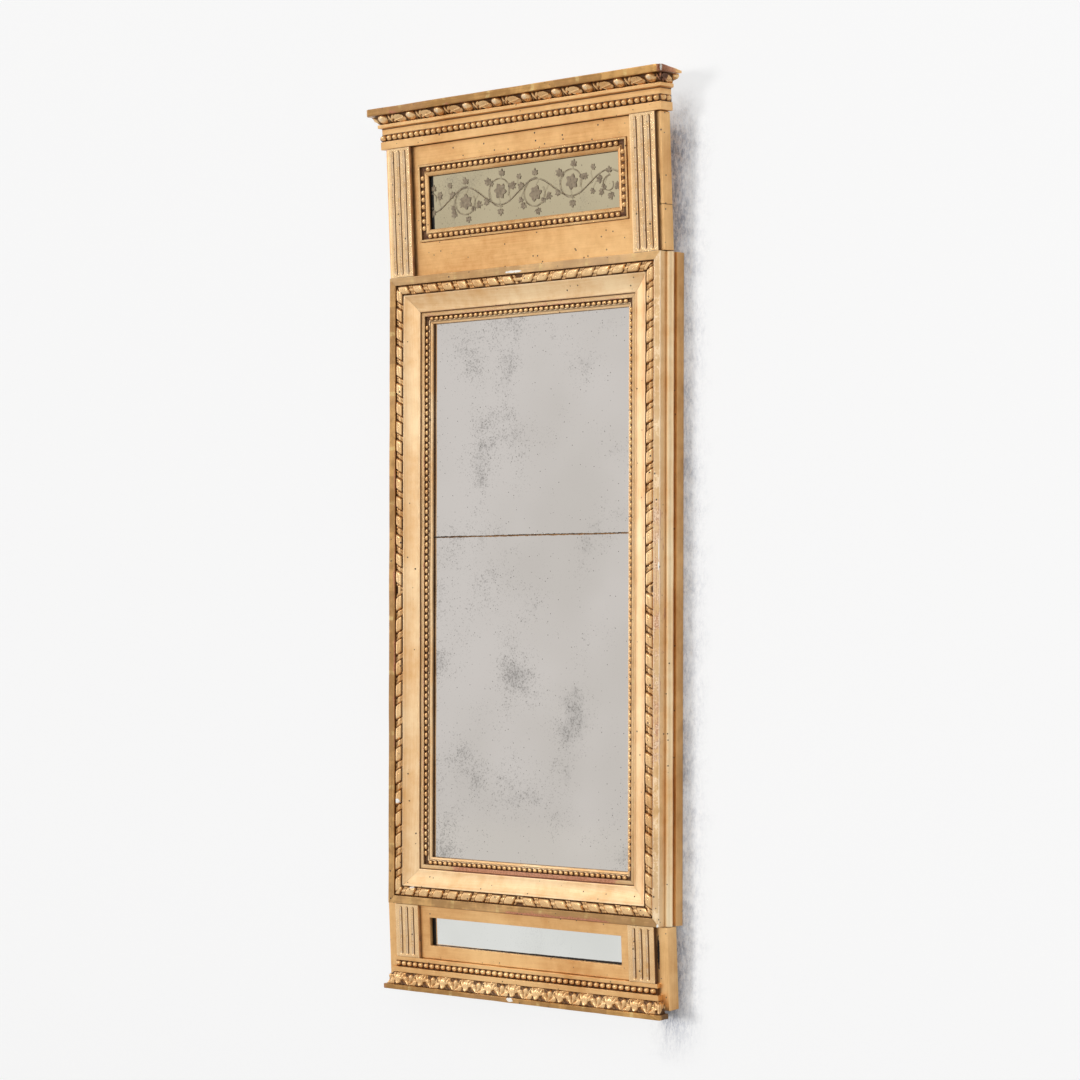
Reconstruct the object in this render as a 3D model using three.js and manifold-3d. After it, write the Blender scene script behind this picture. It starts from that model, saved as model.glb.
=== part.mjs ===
// Pier mirror in a carved and gilt pine frame: two mirror plates one over the
// other, a leaning crest with a small plate and a cornice, a base with a
// narrow plate, and a forged ring behind the crest to hang it from.
//
// Millimetres. X to the right, Y towards the wall, Z up. The wall is y = 0,
// and the origin is the middle of the top rail's rear face, which bears on it.
import * as THREE from 'three';
import { mergeVertices } from 'three/addons/utils/BufferGeometryUtils.js';
import Module from 'manifold-3d';

const wasm = await Module();
wasm.setup();

// ---------------------------------------------------------------- sizes
const FIT = 0.3;              // clearance between pieces that seat on each other

// Main frame, over its outer edges, and from its front fillet to the wall.
const FRAME_W = 489.4;
const FRAME_H = 885;
const FRAME_DEPTH = 40;

// Bands of the main moulding, from its outer edge inwards.
const FILLET_W = 11.1;
const RIBBON_W = 14.8;
const FRIEZE_W = 24.5;
const INNER_FILLET_W = 6.4;
const STRING_W = 6.7;
const LIP_W = 3.8;
// Depths of those bands behind the front fillet.
const RIBBON_FLOOR = 4.5;
const FRIEZE_TOP = 1.2;
const FRIEZE_FOOT = 10.4;
const QUIRK = 1.6;
const STRING_FLOOR = 15.5;
const LIP_TOP = 16.4;
const SIGHT_FRONT = 17.9;
const LIP_T = 4.2;            // thickness of the sight lip in front of the glass
const REBATE_W = 7.3;         // width of the glass rebate
const GLASS_T = 3;
const GLASS_PLAY = 0.8;       // between the glass and the rebate's wall

// Carved runs of the main frame.
// Each side's first wrap and pitch, away from its middle: one pair for the
// half towards the run's end, one for the half towards its start.
const RIBBON_LAYOUT = {
  left: [[17.2, 26.6], [18, 30.5]],
  right: [[15, 26.2], [15, 26.5]],
  top: [[13.5, 26.6], [22, 28]],
  bottom: [[16.5, 26.6], [19, 28.4]],
};
const WRAP_SHARE = 0.6;
const RIBBON_H = 5.4;
const ROD_H = 3.8;
const BEAD_PITCH = 9.25;
const BEAD_H = 3.5;

// Half-round bead along each outer side, and the carcass behind the moulding.
const SIDE_BEAD_R = 6.4;
const SIDE_BEAD_DEPTH = 18.6;
const CARCASS_OUT = 8;        // how far the carcass passes the moulding's edge
const STILE_W = 57.7;
const RAIL_H = 70;
const MID_RAIL_H = 50;
const PLATE_JOINT_Z = 75;     // where the two plates meet, above mid-height
const PLATE_JOINT = 0.9;
const BACKBOARD_T = 8;
const TONGUE_W = 30;          // tongues that run on behind the crest and base
const TONGUE_PAST = 25.2;     // above the crest's boards
const TONGUE_SHORT = 4.5;     // above the foot of the base's side boards

// Crest: leans forward; sizes from its own front plane and foot.
const LEAN = THREE.MathUtils.degToRad(3);
const CREST_H = 181.8;        // pilasters and panel, up to the cornice
const CREST_PAST = 3.3;       // side boards past the main frame's edge
const CREST_HALF = FRAME_W / 2 + CREST_PAST;
const CREST_DEPTH = 25;
const PILASTER_W = 42;
const PILASTER_T = 5;
const PILASTER_STEP = 7;      // side boards' edge past the pilasters
const PILASTER_IN = CREST_HALF - PILASTER_STEP - PILASTER_W;
const FLUTE_PITCH = 11.3;
const FLUTE_R = 3.25;
const FLUTE_SINK = 2.2;
const FLUTE_MARGIN = 3;
const FIELD_BACK = 7.3;       // the crest's field behind the pilasters' face
const PANEL_REAR = 20;
const PANEL_LAP = 6.6;        // the panel's edges behind the pilasters
const PANEL_HALF = PILASTER_IN + PANEL_LAP;
const SLIP_H = 60.3;          // the short length let into the right side board

// Glazed opening of the crest.
const SIGHT_FRAME_SIDE = 17.6;
const SIGHT_FRAME_FOOT = 46.9;
const SIGHT_FRAME_HEAD = 27.3;
const SIGHT_FRAME_W = 2 * (PANEL_HALF - SIGHT_FRAME_SIDE);
const SIGHT_FRAME_H = CREST_H - SIGHT_FRAME_FOOT - SIGHT_FRAME_HEAD;
const SIGHT_FRAME_RISE = 2;   // stands proud of the field
const STEP_W = 3;
const CREST_STRING_W = 8.2;
const CREST_LIP_W = 5.4;
const CREST_BEAD_PITCH = 10;
const CREST_BEAD_H = 4.2;
const SMALL_GLASS_T = 2;
const SMALL_LIP_T = 3.5;
const SMALL_REBATE_W = 4;
const FIELDED_T = 4.7;        // flange of the boards behind the small plates
const CREST_BOARD_INSET = 6;  // that flange inside the panel's edge
const CREST_BOARD_PAST = 22;  // and past the plate's foot and head

// Cornice, from its core outwards; heights from the crest's foot.
const CORE_HALF = CREST_HALF - 2;
const CORE_FRONT = 6.5;
const ARCHITRAVE_H = 11.5;
const ARCHITRAVE_OUT = 6.5;
const CORNICE_BEAD_H = 9.4;
const CORNICE_BEAD_PITCH = 10.7;
const CORNICE_BEAD_OUT = 11.3;
const FASCIA_H = 8.3;
const FASCIA_OUT = 4.8;
const FASCIA_LIST_H = 6.3;
const FASCIA_LIST_OUT = 9.2;
const OVOLO_H = 11.5;
const OVOLO_OUT = 15.8;
const EGG_PITCH = 53.7;
const COVER_H = 10.1;
const COVER_OUT = 21.6;
const COVER_REAR = 27;
const COVER_CORNER_R = 6;

// Base: leans back below; sizes from its own front plane, down from its head.
const BASE_PAST = 7.3;        // side boards past the main frame's edge
const BASE_HALF = FRAME_W / 2 + BASE_PAST;
const BASE_PILASTER_W = 44;
const BASE_PILASTER_STEP = 18.4;
const BASE_PILASTER_IN = BASE_HALF - BASE_PILASTER_STEP - BASE_PILASTER_W;
const BASE_FACE = 2;          // pilasters' face behind the main fillet
const BASE_SIDE_FRONT = 8.3;
const BASE_DEPTH = 28;
const BASE_SIDE_H = 110.5;
const BASE_PANEL_H = 75;
const BASE_PANEL_FACE = 7;
const BASE_PANEL_REAR = 22;
const BASE_RAIL_TOP = 16;
const BASE_RAIL_FOOT = 18.2;
const BASE_RAIL_SIDE = 16;
const BASE_BEVEL = 1.2;
const BASE_LIP_T = 6.2;
const BASE_BOARD_INSET = 2.3;
const BASE_BOARD_PAST = 6;
const PLINTH_STEP = 20.5;     // side boards' edge past the mouldings' back
const PLINTH_HALF = BASE_HALF - PLINTH_STEP;
const PLINTH_FRONT = 8;
const PLINTH_BAND_H = 5.6;
const PLINTH_BAND_OUT = 6;
const PLINTH_BEAD_H = 8.6;
const PLINTH_BEAD_OUT = 9.3;
const PLINTH_FASCIA_H = 7.9;
const PLINTH_FASCIA_OUT = 9.3;
const LEAF_H = 16.4;
const LEAF_OUT = 15.5;
const LEAF_PITCH = 43;
const FOOT_H = 7;
const FOOT_OUT = 18;

// Hanging ring and its staple.
const RING_R = 18;
const RING_WIRE = 2;
const STAPLE_WIRE = 1.75;
const STAPLE_HALF = 5.5;
const STAPLE_REACH = 4.5;
const STAPLE_PLATE = [36, 1.6, 26];
const STAPLE_RISE = 23.2;     // its middle above the crest's boards

// ---------------------------------------------------- derived from them
const A_RIBBON = FILLET_W;
const A_FRIEZE = A_RIBBON + RIBBON_W;
const A_INNER = A_FRIEZE + FRIEZE_W;
const A_STRING = A_INNER + INNER_FILLET_W;
const A_LIP = A_STRING + STRING_W;
const A_SIGHT = A_LIP + LIP_W;
const GLASS_FRONT = SIGHT_FRONT + LIP_T + FIT;
const MOULDING_T = GLASS_FRONT + GLASS_T;
const CARCASS_FRONT = MOULDING_T + FIT;
const FRAME_TOP = FRAME_H / 2;
const CARCASS_HALF = FRAME_W / 2 + CARCASS_OUT;
const STILE_IN = CARCASS_HALF - STILE_W;
const RAIL_MID = FRAME_TOP - FIT - RAIL_H / 2;
const TONGUE_UP = CREST_H + TONGUE_PAST;
const TONGUE_DOWN = BASE_SIDE_H - TONGUE_SHORT;
const STAPLE_Z = CREST_H + STAPLE_RISE;

// ------------------------------------------------------------- materials
const paint = (color, roughness, metalness) =>
  new THREE.MeshStandardMaterial({ color, roughness, metalness });
const GILT = paint(0xc89a55, 0.4, 0.6);
const GILT_PALE = paint(0xdbb577, 0.38, 0.6);
const GILT_DARK = paint(0xa87a42, 0.45, 0.55);
const PINE = paint(0x9c7a52, 0.8, 0);
const MIRROR = paint(0xc8c5c1, 0.08, 0.9);
const GREEN_GLASS = paint(0xb9b08f, 0.15, 0.6);
const IRON = paint(0x3a3632, 0.6, 0.8);

// --------------------------------------------------------------- helpers
const model = new THREE.Group();

// A piece of the object: one named mesh in its group.
function piece(name, geometry, material, parent, x = 0, y = 0, z = 0) {
  const mesh = new THREE.Mesh(geometry, material.clone());
  mesh.name = name;
  mesh.position.set(x, y, z);
  parent.add(mesh);
  return mesh;
}

// Six times the signed volume that a triangle list holds.
function signedVolume(points, faces) {
  let sum = 0;
  for (const [i, j, k] of faces) {
    const [a, b, c] = [points[i], points[j], points[k]];
    sum += a[0] * (b[1] * c[2] - b[2] * c[1]);
    sum -= a[1] * (b[0] * c[2] - b[2] * c[0]);
    sum += a[2] * (b[0] * c[1] - b[1] * c[0]);
  }
  return sum;
}

// A closed body through a row of rings with as many points each. Its ends are
// capped with the flat outline's triangles, or the rings run on in a loop.
function loft(rings, outline, loop = false) {
  const n = outline.length;
  const points = rings.flat();
  const faces = [];
  const last = loop ? rings.length : rings.length - 1;
  for (let r = 0; r < last; r += 1) {
    const s = ((r + 1) % rings.length) * n;
    for (let i = 0; i < n; i += 1) {
      const j = (i + 1) % n;
      faces.push([r * n + i, r * n + j, s + j]);
      faces.push([r * n + i, s + j, s + i]);
    }
  }
  if (!loop) {
    const flat = outline.map(([u, v]) => new THREE.Vector2(u, v));
    const end = (rings.length - 1) * n;
    const turn = Math.sign(THREE.ShapeUtils.area(flat));
    for (const [a, b, c] of THREE.ShapeUtils.triangulateShape(flat, [])) {
      const same = Math.sign(THREE.ShapeUtils.area([flat[a], flat[b], flat[c]])) === turn;
      const [p, q] = same ? [b, c] : [c, b];
      faces.push([a, q, p]);
      faces.push([end + a, end + p, end + q]);
    }
  }
  if (signedVolume(points, faces) < 0) {
    faces.forEach((f) => f.reverse());
  }
  const geometry = new THREE.BufferGeometry();
  const flatPoints = new Float32Array(points.flat());
  geometry.setAttribute('position', new THREE.BufferAttribute(flatPoints, 3));
  geometry.setIndex(faces.flat());
  geometry.computeVertexNormals();
  return geometry;
}

// A board between two corners.
function board(x0, x1, y0, y1, z0, z1) {
  const box = new THREE.BoxGeometry(x1 - x0, y1 - y0, z1 - z0);
  return box.translate((x0 + x1) / 2, (y0 + y1) / 2, (z0 + z1) / 2);
}

// A straight board along X with the given outline in depth and height.
function alongX(x0, x1, outline) {
  const rings = [x0, x1].map((x) => outline.map(([y, z]) => [x, y, z]));
  return loft(rings, outline);
}

function toManifold(geometry) {
  const bare = geometry.clone();
  bare.deleteAttribute('normal');
  bare.deleteAttribute('uv');
  const merged = mergeVertices(bare, 1e-4);
  return new wasm.Manifold(new wasm.Mesh({
    numProp: 3,
    vertProperties: merged.attributes.position.array,
    triVerts: new Uint32Array(merged.index.array),
  }));
}

function fromManifold(body) {
  const mesh = body.getMesh();
  const geometry = new THREE.BufferGeometry();
  const points = new THREE.BufferAttribute(new Float32Array(mesh.vertProperties), 3);
  geometry.setAttribute('position', points);
  geometry.setIndex(Array.from(mesh.triVerts));
  geometry.computeVertexNormals();
  return geometry;
}

const join = (a, b) => fromManifold(toManifold(a).add(toManifold(b)));
const cut = (a, tools) => fromManifold(
  tools.reduce((body, tool) => body.subtract(toManifold(tool)), toManifold(a)),
);

// Sides of a mitred frame. A side is made lying along X with its outer edge
// on z = 0 and its width going down, then turned about Y to its place.
const SIDE_TURN = {
  top: 0,
  right: Math.PI / 2,
  bottom: Math.PI,
  left: -Math.PI / 2,
};
const sideLength = (side, width, height) =>
  (side === 'top' || side === 'bottom' ? width : height);

function placeSide(mesh, side, width, height, y, z) {
  const turn = SIDE_TURN[side];
  mesh.rotation.y = turn;
  mesh.position.set((Math.sin(turn) * width) / 2, y, z + (Math.cos(turn) * height) / 2);
}

// A mitred run. Each station has its place along the run, which may differ
// from point to point, and an outline of [inwards, depth] pairs.
function mitredRun(length, ends, stations = []) {
  const mitre = FIT / Math.SQRT2;
  const row = (outline, place) => outline.map(([a, d]) => [
    place(a) - length / 2, d, -a,
  ]);
  const rings = [row(ends, (a) => a + mitre)];
  for (const { at, outline } of stations) {
    rings.push(row(outline, at));
  }
  rings.push(row(ends, (a) => length - a - mitre));
  return loft(rings, ends);
}

// A run that goes round the front of a box with a short return at each side.
// Outlines are [outwards, height] pairs from the box's faces.
function wrappedRun({ half, front, rear, corner, side = [], face = [] }) {
  const returns = [{ y: rear, outline: corner }, ...side];
  const rings = [];
  for (const { y, outline } of returns) {
    rings.push(outline.map(([p, z]) => [-half - p, y, z]));
  }
  rings.push(corner.map(([p, z]) => [-half - p, front - p, z]));
  for (const { x, outline } of face) {
    rings.push(outline.map(([p, z]) => [x, front - p, z]));
  }
  rings.push(corner.map(([p, z]) => [half + p, front - p, z]));
  for (const { y, outline } of returns.reverse()) {
    rings.push(outline.map(([p, z]) => [half + p, y, z]));
  }
  return loft(rings, corner);
}

// ------------------------------------------------ main frame: mouldings
// Section of the moulding: [inwards from the outer edge, depth].
function mouldingSection() {
  const frieze = [];
  const steps = 5;
  for (let i = 0; i <= steps; i += 1) {
    const t = i / steps;
    const drop = 1 - (1 - t) ** 1.9;
    frieze.push([A_FRIEZE + FRIEZE_W * t, FRIEZE_TOP + (FRIEZE_FOOT - FRIEZE_TOP) * drop]);
  }
  return [
    [0, 0],
    [A_RIBBON, 0],
    [A_RIBBON, RIBBON_FLOOR],
    [A_FRIEZE, RIBBON_FLOOR],
    ...frieze,
    [A_INNER, FRIEZE_FOOT + QUIRK],
    [A_STRING, FRIEZE_FOOT + QUIRK],
    [A_STRING, STRING_FLOOR],
    [A_LIP, STRING_FLOOR],
    [A_LIP, LIP_TOP],
    [A_SIGHT, SIGHT_FRONT],
    [A_SIGHT, GLASS_FRONT - FIT],
    [A_SIGHT - REBATE_W, GLASS_FRONT - FIT],
    [A_SIGHT - REBATE_W, MOULDING_T],
    [0, MOULDING_T],
  ];
}

// Ribbon wound round a rod: the bare rod shows at the middle of the run and the
// wraps slant away from it on both sides, up to the mitres.
function ribbonRun(length, layout) {
  const mid = (A_RIBBON + A_FRIEZE) / 2;
  const back = RIBBON_FLOOR - FIT;
  const half = RIBBON_W / 2 - FIT;
  const section = (wide, crown, high) => [
    [mid - wide, back],
    [mid - crown, back - high],
    [mid + crown, back - high],
    [mid + wide, back],
  ];
  const rod = section(half * 0.72, half * 0.42, ROD_H);
  const wrap = section(half, half * 0.55, RIBBON_H);
  const halfRun = (sign, [first, pitch]) => {
    const long = (pitch * WRAP_SHARE) / 2;
    const ends = [[-long, rod], [0.8 - long, wrap], [long - 0.8, wrap], [long, rod]];
    const limit = length / 2 - A_FRIEZE - long + 0.5 * half;
    const stations = [];
    for (let centre = first; centre < limit; centre += pitch) {
      for (const [step, outline] of ends) {
        const at = (a) => length / 2 + sign * (centre + step - 0.55 * (a - mid));
        stations.push({ at, outline });
      }
    }
    return stations;
  };
  const towardsStart = halfRun(-1, layout[1]).reverse();
  return mitredRun(length, rod, [...towardsStart, ...halfRun(1, layout[0])]);
}

// String of beads between two edges, each bead a swelling between two necks.
function beadStations(from, to, pitch, section) {
  const count = Math.floor((to - from) / pitch);
  const middle = (from + to) / 2;
  const stations = [];
  for (let k = 0; k < count; k += 1) {
    const centre = middle + (k - (count - 1) / 2) * pitch;
    stations.push({ at: () => centre - pitch / 2, outline: section(0) });
    stations.push({ at: () => centre, outline: section(1) });
  }
  stations.push({ at: () => middle + count * pitch / 2, outline: section(0) });
  return stations;
}

// Section of a bead string in a channel, for a swelling from 0 to 1. A small
// string has a single crown point, a larger one has two.
function stringSection(inner, outer, floor, height, crownPoints) {
  return (swell) => {
    const top = floor - height * (0.35 + 0.65 * swell);
    const inset = (outer - inner) * (0.34 - 0.06 * swell);
    const crowns = crownPoints === 1
      ? [[(inner + outer) / 2, top]]
      : [[inner + inset, top], [outer - inset, top]];
    return [[inner, floor], ...crowns, [outer, floor]];
  };
}

function beadRun(length) {
  const section = stringSection(
    A_STRING + FIT,
    A_LIP - FIT,
    STRING_FLOOR - FIT,
    BEAD_H,
    1,
  );
  const reach = A_LIP + FIT;
  const stations = beadStations(reach, length - reach, BEAD_PITCH, section);
  return mitredRun(length, section(0), stations);
}

for (const side of ['left', 'right', 'top', 'bottom']) {
  const length = sideLength(side, FRAME_W, FRAME_H);
  const pieces = [
    piece(`moulding_${side}`, mitredRun(length, mouldingSection()), GILT, model),
    piece(`ribbon_${side}`, ribbonRun(length, RIBBON_LAYOUT[side]), GILT_PALE, model),
    piece(`beads_${side}`, beadRun(length), GILT_PALE, model),
  ];
  pieces.forEach((mesh) => placeSide(mesh, side, FRAME_W, FRAME_H, 0, 0));
}

// Half-round bead planted on each outer side of the moulding.
function halfRound(direction) {
  const outline = [];
  const steps = 8;
  for (let i = 0; i <= steps; i += 1) {
    const angle = (Math.PI * i) / steps;
    outline.push([
      direction * SIDE_BEAD_R * 1.05 * Math.sin(angle),
      -SIDE_BEAD_R * Math.cos(angle),
    ]);
  }
  const rings = [FIT - FRAME_TOP, FRAME_TOP - FIT].map(
    (z) => outline.map(([x, y]) => [x, y, z]),
  );
  return loft(rings, outline);
}
const SIDE_BEAD_X = FRAME_W / 2 + FIT;
piece('side_bead_left', halfRound(-1), GILT_DARK, model, -SIDE_BEAD_X, SIDE_BEAD_DEPTH);
piece('side_bead_right', halfRound(1), GILT_DARK, model, SIDE_BEAD_X, SIDE_BEAD_DEPTH);

// --------------------------------------------- carcass, plates and backs
// Rear plane of a leaning part at a height above or below its own end of the
// main frame, as a depth behind the front fillet.
const rearDepth = (depth, height) => depth / Math.cos(LEAN) - height * Math.tan(LEAN);

// A carcass stile is one long board. Above and below the main frame a
// narrower tongue runs on, planed to the crest's and the base's lean.
function carcassStile(sign) {
  const inner = sign * STILE_IN;
  const outer = sign * CARCASS_HALF;
  const edge = sign * (STILE_IN + TONGUE_W);
  const [x0, x1] = [inner, outer].sort((a, b) => a - b);
  const [t0, t1] = [inner, edge].sort((a, b) => a - b);
  const end = FRAME_TOP - FIT;
  const body = board(x0, x1, CARCASS_FRONT, FRAME_DEPTH, -end, end);
  const tongue = alongX(t0, t1, [
    [FRAME_DEPTH, -FRAME_TOP - TONGUE_DOWN],
    [FRAME_DEPTH, FRAME_TOP + TONGUE_UP],
    [rearDepth(CREST_DEPTH + FIT, TONGUE_UP), FRAME_TOP + TONGUE_UP],
    [rearDepth(CREST_DEPTH + FIT, 0), FRAME_TOP],
    [CARCASS_FRONT, FRAME_TOP],
    [CARCASS_FRONT, -FRAME_TOP],
    [rearDepth(BASE_DEPTH + FIT, 0), -FRAME_TOP],
    [rearDepth(BASE_DEPTH + FIT, -TONGUE_DOWN), -FRAME_TOP - TONGUE_DOWN],
  ]);
  return join(body, tongue);
}
piece('carcass_left', carcassStile(-1), PINE, model);
piece('carcass_right', carcassStile(1), PINE, model);

function carcassRail(middle, height) {
  const half = STILE_IN - FIT;
  return board(
    -half,
    half,
    CARCASS_FRONT,
    FRAME_DEPTH,
    middle - height / 2,
    middle + height / 2,
  );
}
piece('carcass_top', carcassRail(RAIL_MID, RAIL_H), PINE, model);
piece('carcass_middle', carcassRail(PLATE_JOINT_Z, MID_RAIL_H), PINE, model);
piece('carcass_bottom', carcassRail(-RAIL_MID, RAIL_H), PINE, model);

// Boards that close the back between the rails, on the moulding's rear face.
function backboard(z0, z1) {
  const half = STILE_IN - FIT;
  return board(-half, half, CARCASS_FRONT, CARCASS_FRONT + BACKBOARD_T, z0, z1);
}
const BOARD_END = RAIL_MID - RAIL_H / 2 - FIT;
const BOARD_JOINT = MID_RAIL_H / 2 + FIT;
piece('backboard_upper', backboard(PLATE_JOINT_Z + BOARD_JOINT, BOARD_END), PINE, model);
piece('backboard_lower', backboard(-BOARD_END, PLATE_JOINT_Z - BOARD_JOINT), PINE, model);

function mirrorPlate(z0, z1) {
  const half = FRAME_W / 2 - A_SIGHT + REBATE_W - GLASS_PLAY;
  return board(-half, half, GLASS_FRONT, GLASS_FRONT + GLASS_T, z0, z1);
}
const PLATE_END = FRAME_TOP - A_SIGHT + REBATE_W - GLASS_PLAY;
const UPPER_FOOT = PLATE_JOINT_Z + PLATE_JOINT / 2;
const LOWER_HEAD = PLATE_JOINT_Z - PLATE_JOINT / 2;
piece('mirror_plate_upper', mirrorPlate(UPPER_FOOT, PLATE_END), MIRROR, model);
piece('mirror_plate_lower', mirrorPlate(-PLATE_END, LOWER_HEAD), MIRROR, model);

// ----------------------------------------------------------------- crest
const crest = new THREE.Group();
crest.position.z = FRAME_TOP;
crest.rotation.x = LEAN;
model.add(crest);

// Pilaster with stopped flutes, made on its own middle line.
function pilaster(width, height, face, thickness) {
  const body = board(-width / 2, width / 2, face, face + thickness, 0, height);
  const straight = height - 2 * FLUTE_MARGIN - 2 * FLUTE_R;
  const flutes = [-1, 0, 1].map((i) => {
    const tool = new THREE.CapsuleGeometry(FLUTE_R, straight, 3, 10);
    tool.rotateX(Math.PI / 2);
    return tool.translate(i * FLUTE_PITCH, face + FLUTE_SINK - FLUTE_R, height / 2);
  });
  return cut(body, flutes);
}
const PILASTER_X = PILASTER_IN + PILASTER_W / 2;
const crestPilaster = () => pilaster(PILASTER_W, CREST_H - 2 * FIT, 0, PILASTER_T);
piece('crest_pilaster_left', crestPilaster(), GILT, crest, -PILASTER_X, 0, FIT);
piece('crest_pilaster_right', crestPilaster(), GILT, crest, PILASTER_X, 0, FIT);

// Side boards behind the pilasters. The right one has a short length let in
// at its foot.
const SIDE_IN = PANEL_HALF + FIT;
const CREST_SIDE_FRONT = PILASTER_T + FIT;
function crestSide(sign, z0, z1) {
  const [x0, x1] = [sign * SIDE_IN, sign * CREST_HALF].sort((a, b) => a - b);
  return board(x0, x1, CREST_SIDE_FRONT, CREST_DEPTH, z0, z1);
}
piece('crest_side_left', crestSide(-1, FIT, CREST_H - FIT), GILT, crest);
piece('crest_side_right', crestSide(1, SLIP_H + FIT, CREST_H - FIT), GILT, crest);
piece('crest_slip_right', crestSide(1, FIT, SLIP_H), GILT_DARK, crest);

// Panel with the opening that the glazed frame sits in.
const SIGHT_MID = SIGHT_FRAME_FOOT + SIGHT_FRAME_H / 2;
function crestPanel() {
  const body = board(-PANEL_HALF, PANEL_HALF, FIELD_BACK, PANEL_REAR, FIT, CREST_H - FIT);
  const w = SIGHT_FRAME_W / 2 + FIT;
  const h = SIGHT_FRAME_H / 2 + FIT;
  const hole = board(-w, w, FIELD_BACK - 1, PANEL_REAR + 1, SIGHT_MID - h, SIGHT_MID + h);
  return cut(body, [hole]);
}
piece('crest_panel', crestPanel(), GILT, crest);

// The glazed frame: an outer step, a string of beads and a lip.
const C_STRING = STEP_W;
const C_LIP = C_STRING + CREST_STRING_W;
const C_SIGHT = C_LIP + CREST_LIP_W;
const C_FLOOR = 3.2;
const C_SIGHT_FRONT = 3.2;
const C_GLASS = C_SIGHT_FRONT + SMALL_LIP_T + FIT;
const C_FRAME_T = PANEL_REAR - FIELD_BACK + SIGHT_FRAME_RISE;
function sightSection() {
  return [
    [0, 0],
    [C_STRING, 0],
    [C_STRING, C_FLOOR],
    [C_LIP, C_FLOOR],
    [C_LIP, C_FLOOR / 2],
    [C_SIGHT, C_SIGHT_FRONT],
    [C_SIGHT, C_GLASS - FIT],
    [C_SIGHT - SMALL_REBATE_W, C_GLASS - FIT],
    [C_SIGHT - SMALL_REBATE_W, C_FRAME_T],
    [0, C_FRAME_T],
  ];
}

// The beads are carved in the solid here: the string is joined to its length
// of frame, sunk a little into the channel's floor.
function sightSide(length) {
  const sunk = C_FLOOR + 0.4;
  const section = stringSection(C_STRING + 0.5, C_LIP - 0.5, sunk, CREST_BEAD_H, 2);
  const reach = C_LIP + FIT;
  const stations = beadStations(reach, length - reach, CREST_BEAD_PITCH, section);
  const string = mitredRun(length, section(0), stations);
  return join(mitredRun(length, sightSection()), string);
}
for (const side of ['left', 'right', 'top', 'bottom']) {
  const length = sideLength(side, SIGHT_FRAME_W, SIGHT_FRAME_H);
  const mesh = piece(`crest_glass_frame_${side}`, sightSide(length), GILT_PALE, crest);
  const face = FIELD_BACK - SIGHT_FRAME_RISE;
  placeSide(mesh, side, SIGHT_FRAME_W, SIGHT_FRAME_H, face, SIGHT_MID);
}

// Small plate, and the fielded board that holds it in its rebate.
function smallPlate(width, height, front, middle) {
  const w = width / 2 - GLASS_PLAY / 2;
  const h = height / 2 - GLASS_PLAY / 2;
  return board(-w, w, front, front + SMALL_GLASS_T, middle - h, middle + h);
}
function fieldedBoard(width, height, front, rear, middle, halfWidth, past) {
  const w = width / 2 - GLASS_PLAY / 2;
  const h = height / 2 - GLASS_PLAY / 2;
  const field = board(-w, w, front, rear + FIT + 1, middle - h, middle + h);
  const flange = board(
    -halfWidth,
    halfWidth,
    rear + FIT,
    rear + FIELDED_T,
    middle - h - past,
    middle + h + past,
  );
  return join(field, flange);
}
const C_REBATE = C_SIGHT - SMALL_REBATE_W;
const C_PLATE_W = SIGHT_FRAME_W - 2 * C_REBATE;
const C_PLATE_H = SIGHT_FRAME_H - 2 * C_REBATE;
const C_PLATE_FRONT = FIELD_BACK - SIGHT_FRAME_RISE + C_GLASS;
const C_BOARD_FRONT = C_PLATE_FRONT + SMALL_GLASS_T + FIT;
piece(
  'crest_glass',
  smallPlate(C_PLATE_W, C_PLATE_H, C_PLATE_FRONT, SIGHT_MID),
  GREEN_GLASS,
  crest,
);
piece(
  'crest_backboard',
  fieldedBoard(
    C_PLATE_W,
    C_PLATE_H,
    C_BOARD_FRONT,
    PANEL_REAR,
    SIGHT_MID,
    PANEL_HALF - CREST_BOARD_INSET,
    CREST_BOARD_PAST,
  ),
  PINE,
  crest,
);

// --------------------------------------------------------------- cornice
const Z_CORE = CREST_H + FIT;
const Z_BEADS = Z_CORE + ARCHITRAVE_H;
const Z_FASCIA = Z_BEADS + CORNICE_BEAD_H;
const Z_LIST = Z_FASCIA + FASCIA_H;
const Z_OVOLO = Z_LIST + FASCIA_LIST_H;
const Z_COVER = Z_OVOLO + OVOLO_H;
const coreHalf = CORE_HALF - FIT;
piece(
  'cornice_core',
  board(-coreHalf, coreHalf, CORE_FRONT + FIT, CREST_DEPTH, Z_CORE, Z_COVER - FIT),
  PINE,
  crest,
);
const CORNICE = { half: CORE_HALF, front: CORE_FRONT, rear: CREST_DEPTH };

// A flat band round the core.
const bandSection = (out, z0, z1) => [[0, z0], [out, z0], [out, z1], [0, z1]];
piece(
  'architrave',
  wrappedRun({ ...CORNICE, corner: bandSection(ARCHITRAVE_OUT, Z_CORE, Z_BEADS - FIT) }),
  GILT,
  crest,
);

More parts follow.
